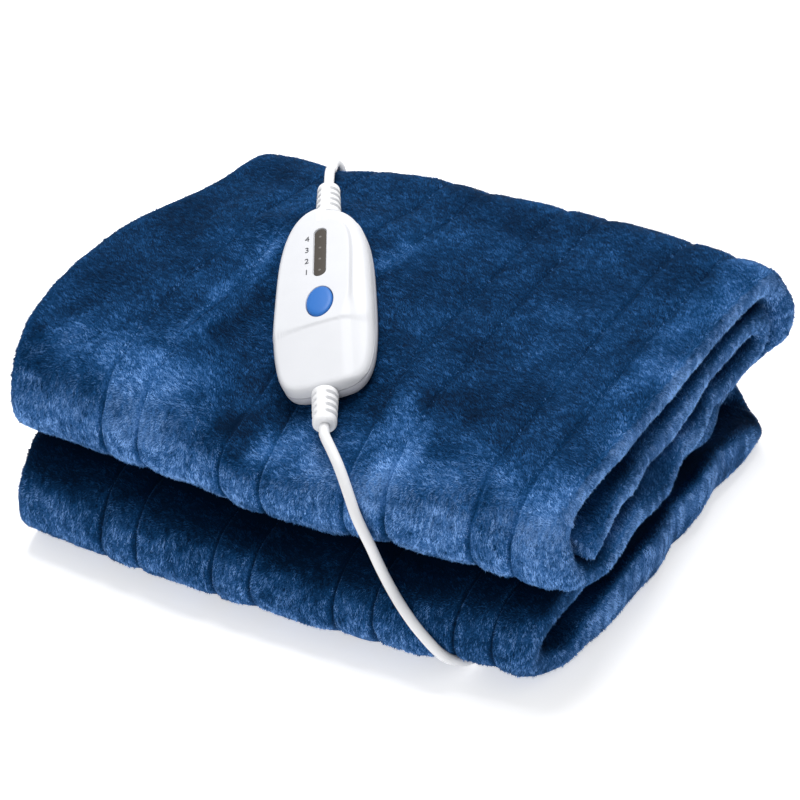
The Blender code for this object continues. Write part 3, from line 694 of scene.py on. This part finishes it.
creases = (
    # side that it shows on, height and half width in mm, then its points in mm: (x, y) on the
    # top, (x, z) at the front, (y, z) at the right
    ("top", 3.2, 8, (-95, -105), (-96, -75), (-96, -32), (-92, 3)),
    ("top", -3.2, 8, (-85, -85), (-78, -56), (-74, -37)),
    ("top", -2.6, 6, (-54, -132), (-49, -115), (-44, -104)),
    ("top", -3.0, 6, (-177, -150), (-166, -144), (-157, -137), (-145, -131)),
    ("top", 2.6, 5, (57, -131), (60, -116), (61, -104)),
    ("top", -2.8, 5, (46, -128), (41, -112), (39, -95)),
    ("top", -2.4, 5, (66, -122), (80, -112), (98, -108)),
    ("top", 2.0, 6, (78, -134), (100, -126), (124, -128)),
    ("top", -2.0, 5, (-118, -128), (-108, -120), (-96, -118)),
    ("top", 1.8, 6, (-160, -128), (-150, -112), (-147, -90)),
    ("top", 1.2, 7, (-120, -20), (-128, 30), (-132, 70)),
    ("top", -1.2, 8, (-150, -60), (-152, 0), (-158, 60)),
    ("top", 1.0, 9, (-60, 60), (-20, 75), (30, 80)),
    ("top", -1.0, 8, (-70, 90), (-10, 105), (60, 100)),
    ("top", -1.2, 6, (82, -60), (96, -20), (100, 30)),
    ("top", 1.3, 7, (150, -110), (152, -60), (158, 10)),
    ("front", -2.4, 5, (-172, 118), (-160, 108), (-150, 101)),
    ("front", 2.0, 5, (-60, 118), (-57, 104), (-56, 92)),
    ("front", -2.2, 5, (-50, 122), (-44, 110), (-46, 98)),
    ("front", -2.2, 5, (20, 116), (24, 103), (23, 90)),
    ("front", -2.4, 5, (105, 112), (100, 100), (104, 86)),
    ("front", -2.0, 5, (118, 124), (132, 116), (146, 118)),
    ("front", -1.4, 4, (-150, 42), (-148, 28), (-150, 14)),
    ("front", -1.5, 4, (10, 44), (14, 30), (12, 16)),
    ("front", 1.3, 5, (95, 40), (99, 26), (97, 14)),
    ("right", -3.0, 5, (-120, 60), (-100, 52), (-82, 50)),
    ("right", 3.0, 5, (-96, 62), (-76, 56), (-58, 60)),
    ("right", -3.0, 5, (-60, 60), (-38, 52), (-20, 56)),
    ("right", 3.2, 5, (-22, 66), (-4, 58), (12, 62)),
    ("right", -3.0, 4, (14, 60), (30, 52), (44, 58)),
    ("right", 3.0, 5, (48, 68), (66, 58), (84, 62)),
    ("right", -2.6, 4, (84, 60), (98, 52), (110, 56)),
    ("right", 2.4, 7, (-105, 30), (-70, 24), (-30, 26)),
    ("right", -2.2, 6, (10, 18), (50, 22), (90, 20)),
    ("right", 2.4, 5, (-60, 86), (-20, 82), (20, 88)),
    ("right", -2.4, 5, (30, 92), (60, 86), (96, 90)),
)


def smoothCurve(values, at):
    # a smooth curve through five values set evenly from -1 to 1, read at many places at once
    values = np.array([np.zeros_like(at) + value for value in values])
    ahead, behind = np.minimum(np.arange(5) + 1, 4), np.maximum(np.arange(5) - 1, 0)
    slopes = (values[ahead] - values[behind]) / (ahead - behind)[:, None]
    place = np.clip(at, -1, 1) * 2 + 2
    k = np.minimum(place.astype(int), 3)
    t = place - k
    each = np.arange(len(at))
    return ((2 * t ** 3 - 3 * t ** 2 + 1) * values[k, each] + (t ** 3 - 2 * t ** 2 + t) * slopes[k, each]
            + (3 * t ** 2 - 2 * t ** 3) * values[k + 1, each] + (t ** 3 - t ** 2) * slopes[k + 1, each])


def sectionLine():
    # the middle line of the layers seen from the right: (y, z), its rim and its swell
    rows = []
    for index, fold in enumerate(folds):
        height, front, back, side, reach, rimFront, rimBack, swell, steps, turns = fold
        ends = ((front, rimFront), (back, rimBack))
        (near, rimNear), (far, rimFar) = ends if index % 2 == 0 else ends[::-1]
        for share in np.linspace(0, 1, steps + 1):
            rows.append((near + (far - near) * share, height, rimNear + (rimFar - rimNear) * share,
                         swell * (1 - (2 * share - 1) ** 4)))
        if side:
            after = folds[index + 1]
            onward, rimAfter = (after[2], after[6]) if side == "back" else (after[1], after[5])
            bulge = reach if side == "back" else -reach
            for i in range(1, turns):
                angle = pi * i / turns
                share = (1 - cos(angle)) / 2
                rows.append((far + (onward - far) * share + bulge * sin(angle) ** 0.8,
                             height + (after[0] - height) * share,
                             rimFar + (rimAfter - rimFar) * i / turns, 0.0))
    return np.array(rows)


def seamPlaces():
    starts = blanket["seamFirst"] + blanket["seamPitch"] * np.arange(blanket["seamPairs"])
    return np.sort(np.concatenate((starts, starts + blanket["seamPair"])))


def sectionLoop():
    # once round both plies of a layer: place across it, and distance from its middle line
    slit = blanket["plyGap"] / 2
    half = blanket["ply"] + slit
    left, right = -blanket["width"] / 2, blanket["width"] / 2 - half
    even = np.linspace(left, right, int((right - left) / blanket["columnStep"]) + 1)
    seams = seamPlaces()
    clear = abs(even[:, None] - seams).min(1) > blanket["seamClear"]
    near = (seams[:, None] + blanket["nearSeam"]).ravel()
    across = np.sort(np.concatenate((even[clear], near)))
    turn = pi / 2 - pi * np.arange(1, blanket["rimSteps"]) / blanket["rimSteps"]
    inner = np.linspace(left, right, 24)
    x = np.concatenate((across, right + half * np.cos(turn), across[::-1], [left - 0.001], inner,
                        inner[::-1], [left - 0.001]))
    off = np.concatenate((across * 0 + half, half * np.sin(turn), across * 0 - half,
                          [-(half + slit) / 2], inner * 0 - slit, inner * 0 + slit,
                          [(half + slit) / 2]))
    return x, off


def bedShare(x, y):
    # the plane under the controller, and how much of the cloth's top is flattened to it
    placed = np.array(controllerPlaced)
    normal, base = placed[:3, 2], placed[:3, 3]
    plane = base[2] - ((x - base[0]) * normal[0] + (y - base[1]) * normal[1]) / normal[2]
    near = (np.stack((x, y, plane), 1) - base) @ placed[:3, :3]
    underRelief = relief["lower"] * np.maximum(1 - abs(near[:, 0]) / controller["width"], 0)
    beside = np.maximum(abs(near[:, 0]) - controller["width"] / 2 - bed["margin"], 0)
    beyond = np.maximum(abs(near[:, 1]) - controller["length"] / 2 - bed["margin"] - underRelief, 0)
    return plane, 1 - softStep(np.hypot(beside, beyond), 0, bed["spread"])


def moundAt(x, y, middle, spread):
    return np.exp(-(np.hypot(x - middle[0], y - middle[1]) / spread) ** 2)


def sagged(points):
    # lets the neat stack bulge and sag as a whole
    x, y, z = points.T.copy()
    u, v = x / (blanket["width"] / 2), y / (blanket["depth"] / 2)
    w = np.clip(z / blanket["height"], 0, 1)
    upperShare = softStep(w, 0.40, 0.56)

    def push(side, place):
        upper, lower = (smoothCurve(row, place) for row in sag[side])
        return (lower + (upper - lower) * upperShare) / 1000

    x += np.where(u > 0, push("right", v), -push("left", v)) * np.minimum(abs(u), 1.1) ** 2
    y += np.where(v > 0, push("back", u), -push("front", u)) * np.minimum(abs(v), 1.1) ** 2
    rise = smoothCurve([smoothCurve(row, u) for row in sag["top"]], v) / 1000
    neatTop = folds[2][0] + blanket["ply"] + blanket["plyGap"] / 2 + bed["gap"] + rise
    plane, share = bedShare(x, y)
    lift = rise + np.minimum(plane - bed["gap"] - neatTop, bed["rise"]) * share
    lift -= bed["dentDepth"] * moundAt(x, y, bed["dentPlace"], bed["dentSpread"])
    lowLift = bed["entryLift"] * moundAt(x, y, bed["entryPlace"], bed["entrySpread"]) * (1 - w) ** 3
    return np.stack((x, y, np.maximum(z + lift * w ** 2 + lowLift, 0)), 1)


def marksAt(points, marks):
    # the sum of bent lines drawn on the top, front and right, all in millimetres
    x, y, z = points.T * 1000
    sides = {"top": (np.stack((x, y), 1), softStep(z, 95, 118)),
             "front": (np.stack((x, z), 1), softStep(-y, 118, 140)),
             "right": (np.stack((y, z), 1), softStep(x, 150, 172))}
    total = np.zeros(len(points))
    for side, height, width, *line in marks:
        flat, share = sides[side]
        nearest = np.full(len(flat), 1e3)
        for start, end in zip(line, line[1:]):
            start, way = np.array(start, float), np.array(end, float) - np.array(start, float)
            t = np.clip((flat - start) @ way / (way @ way), 0, 1)
            nearest = np.minimum(nearest, np.linalg.norm(flat - start - t[:, None] * way, axis=1))
        total += height * share * np.exp(-(nearest / width) ** 2)
    return total


def noiseAt(points, size, seed, stretch=(1, 1, 1)):
    scaled = points / size * stretch + seed
    return np.array([noise.noise(point) for point in scaled.tolist()])


def readValues(items, what, width, kind=np.float32):
    values = np.empty(len(items) * width, kind)
    items.foreach_get(what, values)
    return values.reshape(-1, width)


def giveValues(mesh, name, values):
    layer = mesh.attributes.new(name, "FLOAT", "POINT")
    layer.data.foreach_set("value", values.astype(np.float32))


def movePoints(mesh, points):
    mesh.vertices.foreach_set("co", points.astype(np.float32).ravel())
    mesh.update()


def closeLoop(table):
    # the first column stands again after the last one, and rows run on in one list
    return np.concatenate((table, table[:, :1]), 1).reshape(-1, *table.shape[2:])


def buildBlanket():
    line = sectionLine()
    level = line[:, 1:2]
    step = unit(np.gradient(line[:, :2], axis=0))
    along = np.concatenate(([0], np.cumsum(np.linalg.norm(np.diff(line[:, :2], axis=0), axis=1))))
    loopX, loopOff = sectionLoop()
    columns, rows = len(loopX), len(line) - 1
    half = blanket["ply"] + blanket["plyGap"] / 2

    # pillows between the seams, on the outer faces only
    outside = abs(loopOff) > half * 0.98
    nearest = abs(loopX[:, None] - seamPlaces()).min(1)
    swell = blanket["pillow"] * np.minimum(nearest / blanket["pillowReach"], 1) ** 0.6
    swell -= blanket["seamDepth"] * np.exp(-(nearest / blanket["seamHalfWidth"]) ** 2)
    swell = np.where(outside & (loopX < blanket["pillowEnd"]), swell, 0)
    shallow = 1 - blanket["topShallower"] * softStep(level, *blanket["topSpan"])
    slim = np.ones((len(line), 1))
    slim[[0, -1]] = blanket["endSlim"]

    # the folded edges at the right end wander in and out and up and down
    nearRim = np.maximum(loopX - (blanket["width"] / 2 - blanket["rimSpan"]), 0) / blanket["rimSpan"]
    outer = (loopOff + half) / (2 * half)
    wander = np.stack((along, along * 0, along * 0), 1)
    loose = blanket["rimWave"] * (1 - blanket["rimCalm"] * softStep(level, *blanket["calmSpan"]))
    wave, lift = (loose * noiseAt(wander, size, seed)[:, None]
                  for size, seed in zip(blanket["waveSizes"], (6.3, 14.8)))
    off = ((loopOff + np.sign(loopOff) * swell * shallow) * slim
           + line[:, 3:4] * (nearRim ** 1.5 * outer) + lift * nearRim ** 2)
    x = loopX + (line[:, 2:3] + wave) * nearRim
    neat = np.stack((x, line[:, :1] - step[:, 1:] * off, level + step[:, :1] * off), 2)
    points = sagged(closeLoop(neat))
    faced = np.sign(loopOff)
    outward = closeLoop(np.stack((x * 0, -step[:, 1:] * faced, step[:, :1] * faced), 2))

    bm = bmesh.new()
    bm.loops.layers.uv.new("UVMap")
    bmesh.ops.create_grid(bm, x_segments=columns, y_segments=rows, size=1.0, calc_uvs=True)
    mesh = meshFrom("blanketPlush", bm)
    movePoints(mesh, points)

    # creases, crumples and soft unevenness move the cloth along its own normals
    normals = weldSeam(readValues(mesh.vertices, "normal", 3).astype(float), columns)
    normals *= np.sign((normals * outward).sum())
    _, share = bedShare(points[:, 0], points[:, 1])
    free = 1 - share * softStep(points[:, 2], *blanket["bedSpan"])
    onFloor = softStep(points[:, 2], *blanket["floorSpan"])
    bump = marksAt(points, creases) / 1000
    bump += blanket["crumple"] * noiseAt(points, 0.030, 3.1, (1, 0.7, 1))
    bump += blanket["crumple"] * 0.6 * noiseAt(points, 0.012, 9.7, (1, 0.6, 1))
    moved = closeLoop(np.tile(outside.astype(float), (rows + 1, 1)))
    movePoints(mesh, points + normals * (bump * free * onFloor * moved)[:, None])
    # the seams' closeness, which later sets painted shade in the seams of the sides
    seam = np.where(outside, np.exp(-(nearest / blanket["stitchHalfWidth"]) ** 2), 0)
    giveValues(mesh, "seam", closeLoop(np.tile(seam, (rows + 1, 1))))

    # the grid's own map becomes metres across and along the cloth
    corners = np.rint(readValues(mesh.uv_layers[0].data, "uv", 2) * (columns, rows)).astype(int)
    metres = np.stack((np.append(loopX, loopX[0])[corners[:, 0]], along[corners[:, 1]]), 1)
    mesh.uv_layers[0].data.foreach_set("uv", metres.astype(np.float32).ravel())

    bm = bmesh.new()
    bm.from_mesh(mesh)
    bpy.data.meshes.remove(mesh)
    ends = [vert for vert in bm.verts if vert.index % (columns + 1) in (0, columns)]
    bmesh.ops.remove_doubles(bm, verts=ends, dist=1e-6)
    fillHoles(bm)
    return finishPiece("blanketPlush", bm, plushBase, "base", "plush", ["blanket"])


def weldSeam(normals, columns):
    # the first and last column are the same line of cloth, so they share one normal
    table = normals.reshape(-1, columns + 1, 3)
    table[:, 0] = table[:, -1] = unit(table[:, 0] + table[:, -1])
    return table.reshape(-1, 3)


# the brushed pile: single leaning tufts on the cloth that can be seen

pile = {
    "pieces": 4, "tuftsInPiece": 190000, "quickShare": 0.12,
    "length": 0.0021, "lengthSpread": 0.22, "width": 0.00080, "sunk": 0.0004, "lowest": 0.0002,
    "napTop": (-0.95, 0.18, 0.0), "napSide": (-0.12, 0.0, -1.0),
    "stand": 0.42, "lay": 0.85, "stray": 0.14, "twist": 0.12,
    "clump": (0.0012, 0.0028), "clumpLean": 0.50, "clumpJitter": 0.35, "clumpWave": 0.4,
    "napTurn": 0.6, "napPatch": 0.045, "lengthLimits": (0.4, 1.8), "softness": (0.75, 0.45),
    "hiddenShare": 0.55, "towardsView": (0.376, -0.740, 0.557),
    "calmTop": 0.35, "lockShare": 0.6, "mottle": 0.42, "mottleSize": 0.0065, "mottleTop": 0.6,
    "lyingSpan": (0.55, 0.92), "topHeights": (0.128, 0.140), "topSlopes": (0.6, 0.9),
    "spared": 0.0015, "sparedBelow": 0.0035,
    # how much darker a seam is on its stitches and between them, on the sides and on the top: painted shade
    # in the seam on the sides, and a painted highlight on its stitches on the top
    "stitchLength": 0.0034, "stitchPitch": 0.0058, "stitchHalfWidth": 0.0009,
    "stitchSides": (1.10, 0.40), "stitchTop": (-0.50, 0.15),
    # the line beside it, a painted highlight on the sides that turns to painted shade on the top, and how
    # far it presses the tufts down
    "besideAt": 0.0021, "besideHalfWidth": 0.0010, "besideSides": 0.25, "besideTop": 0.50,
    "pressedTo": 0.0026, "pressedSides": 0.68, "pressedTop": 0.40,
}
# painted light: the top is painted darker than the turned sides, the gap between the bundles gets the
# darkest painted shade and the lower bundle painted shade too; broad and fine are random patches, and seam
# is painted shade in the seams of the sides
toneAndPaintedLight = {"broad": 0.16, "fine": 0.16, "sides": 0.70, "gap": 0.38, "low": 0.22, "all": 0.20,
          "speckle": 0.9, "seam": 0.50, "most": 0.9, "gapHeight": 0.064, "gapSpread": 0.012}
pileColours = (
    # from the dark roots to the lightest tips
    (0.0, (0.0006, 0.0085, 0.028)), (0.32, (0.0028, 0.035, 0.110)), (0.55, (0.020, 0.088, 0.250)),
    (0.78, (0.086, 0.212, 0.490)), (1.0, (0.215, 0.415, 0.820)),
)
napAndPaintedLightMarks = (
    # side, lighter or darker, half width in mm, points as for the creases: painted highlights and painted
    # shade along ridges, troughs, rims and the front shoulder, and lighter and darker patches of the nap
    ("top", 0.42, 24, (-142, -139), (-100, -143), (-84, -142)),
    ("top", 0.40, 18, (-6, -148), (20, -150), (60, -152)),
    ("top", 0.54, 20, (85, -150), (148, -145), (168, -142)),
    ("right", 0.38, 9, (-150, 122), (-100, 130), (0, 137), (140, 134)),
    ("right", 0.34, 12, (-130, 26), (0, 26), (130, 30)),
    ("right", 0.42, 8, (-110, 88), (0, 92), (100, 98)),
    ("right", 0.24, 8, (-110, 106), (0, 110), (100, 116)),
    ("right", 0.34, 5, (-96, 62), (-76, 56), (-58, 60)),
    ("right", 0.34, 5, (-22, 66), (-4, 58), (12, 62)),
    ("right", 0.34, 5, (48, 68), (66, 58), (84, 62)),
    ("top", 0.46, 8, (-12, 4), (-10, 20), (-11, 33)),
    ("top", 0.20, 6, (57, -131), (60, -116), (61, -104)),
    ("top", 0.40, 8, (-95, -105), (-96, -75), (-96, -32), (-92, 3)),
    ("top", -0.36, 8, (-85, -85), (-78, -56), (-74, -37)),
    ("top", -0.26, 7, (-54, -132), (-49, -115), (-44, -104)),
    ("top", -0.32, 7, (41, -112), (39, -95)),
    ("top", -0.28, 10, (70, -100), (90, -92), (105, -98)),
    ("top", 0.26, 12, (70, -122), (95, -118), (118, -124)),
    ("top", -0.22, 22, (-170, -60), (-172, 20), (-175, 80)),
    ("top", -0.14, 30, (-60, 110), (20, 120), (110, 110)),
    ("front", -0.34, 8, (-135, 129), (-132, 122)),
    ("front", -0.34, 7, (-165, 123), (-160, 118)),
    ("front", -0.30, 8, (-59, 117), (-52, 112)),
    ("front", -0.28, 10, (92, 120), (104, 116)),
    ("front", -0.48, 8, (-44, 119), (-30, 113)),
    ("top", -0.34, 9, (-38, -142), (-28, -130)),
    ("front", -0.26, 8, (130, 125), (149, 122)),
    ("front", 0.14, 11, (-185, 92), (-120, 86), (-40, 82), (60, 80), (160, 84)),
    ("front", 0.34, 13, (-120, 120), (-60, 119), (20, 114), (70, 112)),
    ("front", -0.24, 14, (110, 32), (180, 30)),
    ("front", 0.16, 12, (95, 112), (180, 112)),
    ("front", 0.16, 9, (-180, 22), (-60, 18), (80, 18), (170, 24)),
)


def buildPileGroup():
    # from dark roots to lighter tips, in brushed patches
    book, given, result = newGroup(
        "brushedPile", [("Tone", "Float"), ("Tip", "Float"), ("Chance", "Float")],
        [("Colour", "Color"), ("Roughness", "Float")])
    where = book.where()
    patches = book.cloud(where, 26.0, 3.0, 0.7)
    stretched = book.add("ShaderNodeMapping", {"Vector": where, "Rotation": (0.0, 0.0, 0.55),
                                               "Scale": (120.0, 34.0, 60.0)})
    streaks = book.cloud(stretched.outputs["Vector"], 1.0, 3.0)
    total = 0.0
    # the Tone input carries the cloth's painted light and shade
    for value, gain, shift in ((given["Tip"], 0.38, -0.19), (given["Chance"], 0.80, -0.40),
                               (patches, 0.22, -0.11), (streaks, 0.14, -0.07),
                               (given["Tone"], 0.60, 0.36)):
        total = book.math("ADD", total, book.math("MULTIPLY_ADD", value, gain, shift))
    ramp = book.add("ShaderNodeValToRGB", {"Fac": total})
    stops = ramp.color_ramp.elements
    stops[0].color = (*pileColours[0][1], 1.0)
    stops[1].color = (*pileColours[-1][1], 1.0)
    for place, colour in pileColours[1:-1]:
        stops.new(place).color = (*colour, 1.0)
    book.feed(result, {"Colour": ramp.outputs["Color"],
                       "Roughness": book.math("MULTIPLY_ADD", streaks, 0.2, 0.6)})
    return book.tree


pileGroup = buildPileGroup()


def plush(name, isTuft):
    material, book, shader = newMaterial(name)
    group = book.add("ShaderNodeGroup", node_tree=pileGroup)
    # the tone attribute holds random patches and painted light and shade
    tone = book.add("ShaderNodeAttribute", attribute_name="tone").outputs["Fac"]
    if isTuft:
        # a tuft's map holds its chance value and how far its tip is
        tuftMap = book.add("ShaderNodeUVMap").outputs["UV"]
        spread = book.add("ShaderNodeSeparateXYZ", {"Vector": tuftMap}).outputs
        book.feed(group, {"Tone": tone, "Chance": spread["X"], "Tip": spread["Y"]})
    else:
        fibres = book.cloud(book.where(), 900.0, 2.0)
        book.feed(group, {"Tone": tone, "Chance": fibres, "Tip": 0.15})
        book.feed(shader, {"Normal": book.bump(0.6, 0.0006, fibres)})
    book.feed(shader, {"Base Color": group.outputs["Colour"], "Roughness": group.outputs["Roughness"],
                       "Specular IOR Level": 0.03, "Sheen Weight": 0.05, "Sheen Roughness": 0.35,
                       "Sheen Tint": (0.20, 0.50, 1.0)})
    return material


plushBase = plush("plushBase", False)
plushPile = plush("plushPile", True)


def clothTone(points, normals, seam):
    # random patches with painted light: the sides lighter than the top, painted shade in the gap between
    # the bundles, on the lower bundle and in the seams of the sides, and the marks' painted highlights and
    # shade
    broad = noiseAt(points, 0.050, 21.3)
    fine = noiseAt(points, 0.016, 5.9, (1, 0.55, 1))
    sides = 1 - softStep(normals[:, 2], 0.35, 0.98)
    gap = np.exp(-((points[:, 2] - toneAndPaintedLight["gapHeight"]) / toneAndPaintedLight["gapSpread"]) ** 2)
    low = 1 - softStep(points[:, 2], 0.045, 0.075)
    tone = (toneAndPaintedLight["broad"] * broad + toneAndPaintedLight["fine"] * fine + toneAndPaintedLight["sides"] * sides
            - toneAndPaintedLight["gap"] * gap - toneAndPaintedLight["low"] * low - toneAndPaintedLight["all"]
            + marksAt(points, napAndPaintedLightMarks) * (1 + toneAndPaintedLight["speckle"] * fine) - toneAndPaintedLight["seam"] * seam * sides)
    return toneAndPaintedLight["most"] * np.tanh(tone / toneAndPaintedLight["most"])


def seenShare(mesh, triangles, centres, normals):
    # 1 for triangles that look out into the open, 0 for those inside the folds
    tree = BVHTree.FromPolygons([vert.co[:] for vert in mesh.vertices], triangles.tolist())
    leans = [Vector(lean) for lean in ((0, 0, 0), (0.6, 0, 0.3), (-0.6, 0, 0.3),
                                       (0, 0.6, 0.3), (0, -0.6, 0.3))]
    off, reach = 0.0012, 0.045
    seen = np.zeros(len(triangles))
    for index, (centre, normal) in enumerate(zip(centres, normals)):
        centre, normal = Vector(centre), Vector(normal)
        for lean in leans:
            way = (normal + lean).normalized()
            hit = tree.ray_cast(centre + normal * off, way, reach)
            if hit[0] is None and (centre + way * reach).z > 0.002:
                seen[index] = 1
                break
    return seen


def buildPile(cloth):
    mesh = cloth.data
    points, normals = (readValues(mesh.vertices, what, 3).astype(float) for what in ("co", "normal"))
    seam = readValues(mesh.attributes["seam"].data, "value", 1)[:, 0]
    # the tone, painted light and shade included, goes on the cloth and under the tufts
    tone = clothTone(points, normals, seam).astype(np.float32)
    giveValues(mesh, "tone", tone)
    mesh.calc_loop_triangles()
    triangles = readValues(mesh.loop_triangles, "vertices", 3, np.int32)
    corners = readValues(mesh.loop_triangles, "loops", 3, np.int32)
    maps = readValues(mesh.uv_layers[0].data, "uv", 2)

    corner = points[triangles]
    crossed = np.cross(corner[:, 1] - corner[:, 0], corner[:, 2] - corner[:, 0])
    facing = unit(crossed)
    area = np.linalg.norm(crossed, axis=1) / 2 * seenShare(mesh, triangles, corner.mean(1), facing)
    turnedAway = facing @ pile["towardsView"] < -0.15
    weight = area * np.where(turnedAway, pile["hiddenShare"], 1.0)
    print("open cloth", round(float(area.sum()), 3), "square metres")

    rng = np.random.default_rng(11)
    tufts = pile["tuftsInPiece"]
    pieces = []
    for number in range(pile["pieces"]):
        chosen = np.searchsorted(np.cumsum(weight), rng.random(tufts) * weight.sum())
        chosen = np.minimum(chosen, len(triangles) - 1)
        a, b = np.sqrt(rng.random(tufts)), rng.random(tufts)
        mix = np.stack((1 - a, a * (1 - b), a * b), 1)[:, :, None]
        root = (corner[chosen] * mix).sum(1)
        normal = unit((normals[triangles[chosen]] * mix).sum(1))
        place = (maps[corners[chosen]] * mix).sum(1)
        shade = (tone[triangles[chosen]] * mix[:, :, 0]).sum(1)
        pieces.append(tuftPiece("pile_%d" % number, root, normal, place, shade, rng))
    return pieces


def underController(root):
    placed = np.array(controllerPlaced)
    own = (root - placed[:3, 3]) @ placed[:3, :3]
    inside = (abs(own[:, 0]) / (controller["width"] / 2 - pile["spared"])) ** 3
    inside += (abs(own[:, 1]) / (controller["length"] / 2 - pile["spared"])) ** 3
    return (inside < 1) & (own[:, 2] > -pile["sparedBelow"])


def seamShade(place, onTop):
    # what the nearest seam does to the tufts' shade, and how much it presses them: the seam gets painted
    # shade on the sides and a painted highlight on its stitches on the top, and the line beside it a
    # painted highlight on the sides and painted shade on the top
    pastSeams = place[:, :1] - seamPlaces()
    past = pastSeams[np.arange(len(place)), abs(pastSeams).argmin(1)]
    inSeam = np.exp(-(past / pile["stitchHalfWidth"]) ** 2)
    beside = np.exp(-((past - pile["besideAt"]) / pile["besideHalfWidth"]) ** 2)
    inDash = (place[:, 1] / pile["stitchPitch"]) % 1 < pile["stitchLength"] / pile["stitchPitch"]
    darker = inSeam * (np.where(inDash, *pile["stitchSides"]) * (1 - onTop)
                       + np.where(inDash, *pile["stitchTop"]) * onTop)
    lighter = beside * (pile["besideSides"] - pile["besideTop"] * onTop)
    pressed = (pile["pressedSides"] - pile["pressedTop"] * onTop) * np.exp(-(past / pile["pressedTo"]) ** 2)
    return lighter - darker, pressed


def tuftPiece(name, root, normal, place, shade, rng):
    keep = ~underController(root)
    root, normal, place, shade = root[keep], normal[keep], place[keep], shade[keep]
    many = len(root)
    # brushed across the top and down the sides
    lying = softStep(normal[:, 2:3], *pile["lyingSpan"])
    nap = lying * pile["napTop"] + (1 - lying) * pile["napSide"]
    nap = unit(nap - normal * (normal * nap).sum(1)[:, None])
    x, y, z = (root / pile["napPatch"]).round(2).T
    turn = pile["napTurn"] * (np.sin(x * 3.1 + 1.7 * np.sin(y * 2.3 + 0.5))
                              + np.sin(y * 2.7 + 1.9 * np.sin(x * 1.9 + z * 2.2))) / 2
    nap = nap * np.cos(turn)[:, None] + np.cross(normal, nap) * np.sin(turn)[:, None]
    # neighbours lean together in small locks, each with its own shade
    wide, long = pile["clump"]
    grid = np.where(lying > 0.5, (long, wide), (wide, long))
    cell = place / grid + rng.random((many, 2)) * pile["clumpJitter"]
    cell = np.floor(cell + np.sin(cell[:, ::-1] * 0.9) * pile["clumpWave"])
    lock = np.sin(cell[:, :1] * (12.9898, 39.346, 73.156) + cell[:, 1:] * (78.233, 11.135, 52.235))
    lock = lock * 43758.5453 % 1
    way = normal * pile["stand"] + nap * pile["lay"] + rng.normal(size=(many, 3)) * pile["stray"]
    way = unit(way + (lock - 0.5) * pile["clumpLean"])
    length = 1 + pile["lengthSpread"] * rng.normal(size=many)
    length = pile["length"] * length.clip(*pile["lengthLimits"])
    onTop = softStep(root[:, 2], *pile["topHeights"]) * softStep(normal[:, 2], *pile["topSlopes"])
    seamed, pressed = seamShade(place, onTop)
    length *= 1 - pressed
    mottle = pile["mottle"] * noiseAt(root, pile["mottleSize"], 2.7)
    # each tuft's shade: the cloth's tone with its painted light, the seam's stitches and painted light, and
    # random mottling
    shade = shade + seamed + mottle * (1 - pile["mottleTop"] * lying[:, 0])
    across = unit(np.cross(way, normal + rng.normal(size=(many, 3)) * pile["twist"]))
    across *= pile["width"] / 2
    root = root - normal * pile["sunk"]
    verts = np.stack((root - across, root + across, root + way * length[:, None]), 1).reshape(-1, 3)
    verts[:, 2] = np.maximum(verts[:, 2], pile["lowest"])

    mesh = bpy.data.meshes.new(name)
    mesh.vertices.add(many * 3)
    mesh.loops.add(many * 3)
    mesh.loops.foreach_set("vertex_index", np.arange(many * 3, dtype=np.int32))
    mesh.polygons.add(many)
    mesh.polygons.foreach_set("loop_start", np.arange(0, many * 3, 3, dtype=np.int32))
    mesh.vertices.foreach_set("co", verts.astype(np.float32).ravel())
    mesh.update(calc_edges=True)
    calm = 1 - pile["calmTop"] * lying[:, 0]
    own = rng.random(many) * (1 - pile["lockShare"])
    chance = 0.5 + (lock[:, 0] * pile["lockShare"] + own - 0.5) * calm
    tuftMap = np.stack((np.repeat(chance, 3), np.tile((0, 0, 1), many)), 1).astype(np.float32)
    mesh.uv_layers.new(name="UVMap").data.foreach_set("uv", tuftMap.ravel())
    giveValues(mesh, "tone", np.repeat(shade, 3))
    mesh.shade_smooth()
    soft = unit(normal * pile["softness"][0] + way * pile["softness"][1])
    mesh.normals_split_custom_set_from_vertices(np.repeat(soft, 3, axis=0).tolist())
    mesh.materials.append(plushPile)
    piece = addObject(name, mesh)
    declare(piece, "base", "plush")
    return piece


cloth = buildBlanket()
print("the cloth has", len(cloth.data.polygons), "faces")
pilePieces = buildPile(cloth)
print("the pile has", sum(len(piece.data.polygons) for piece in pilePieces), "tufts")
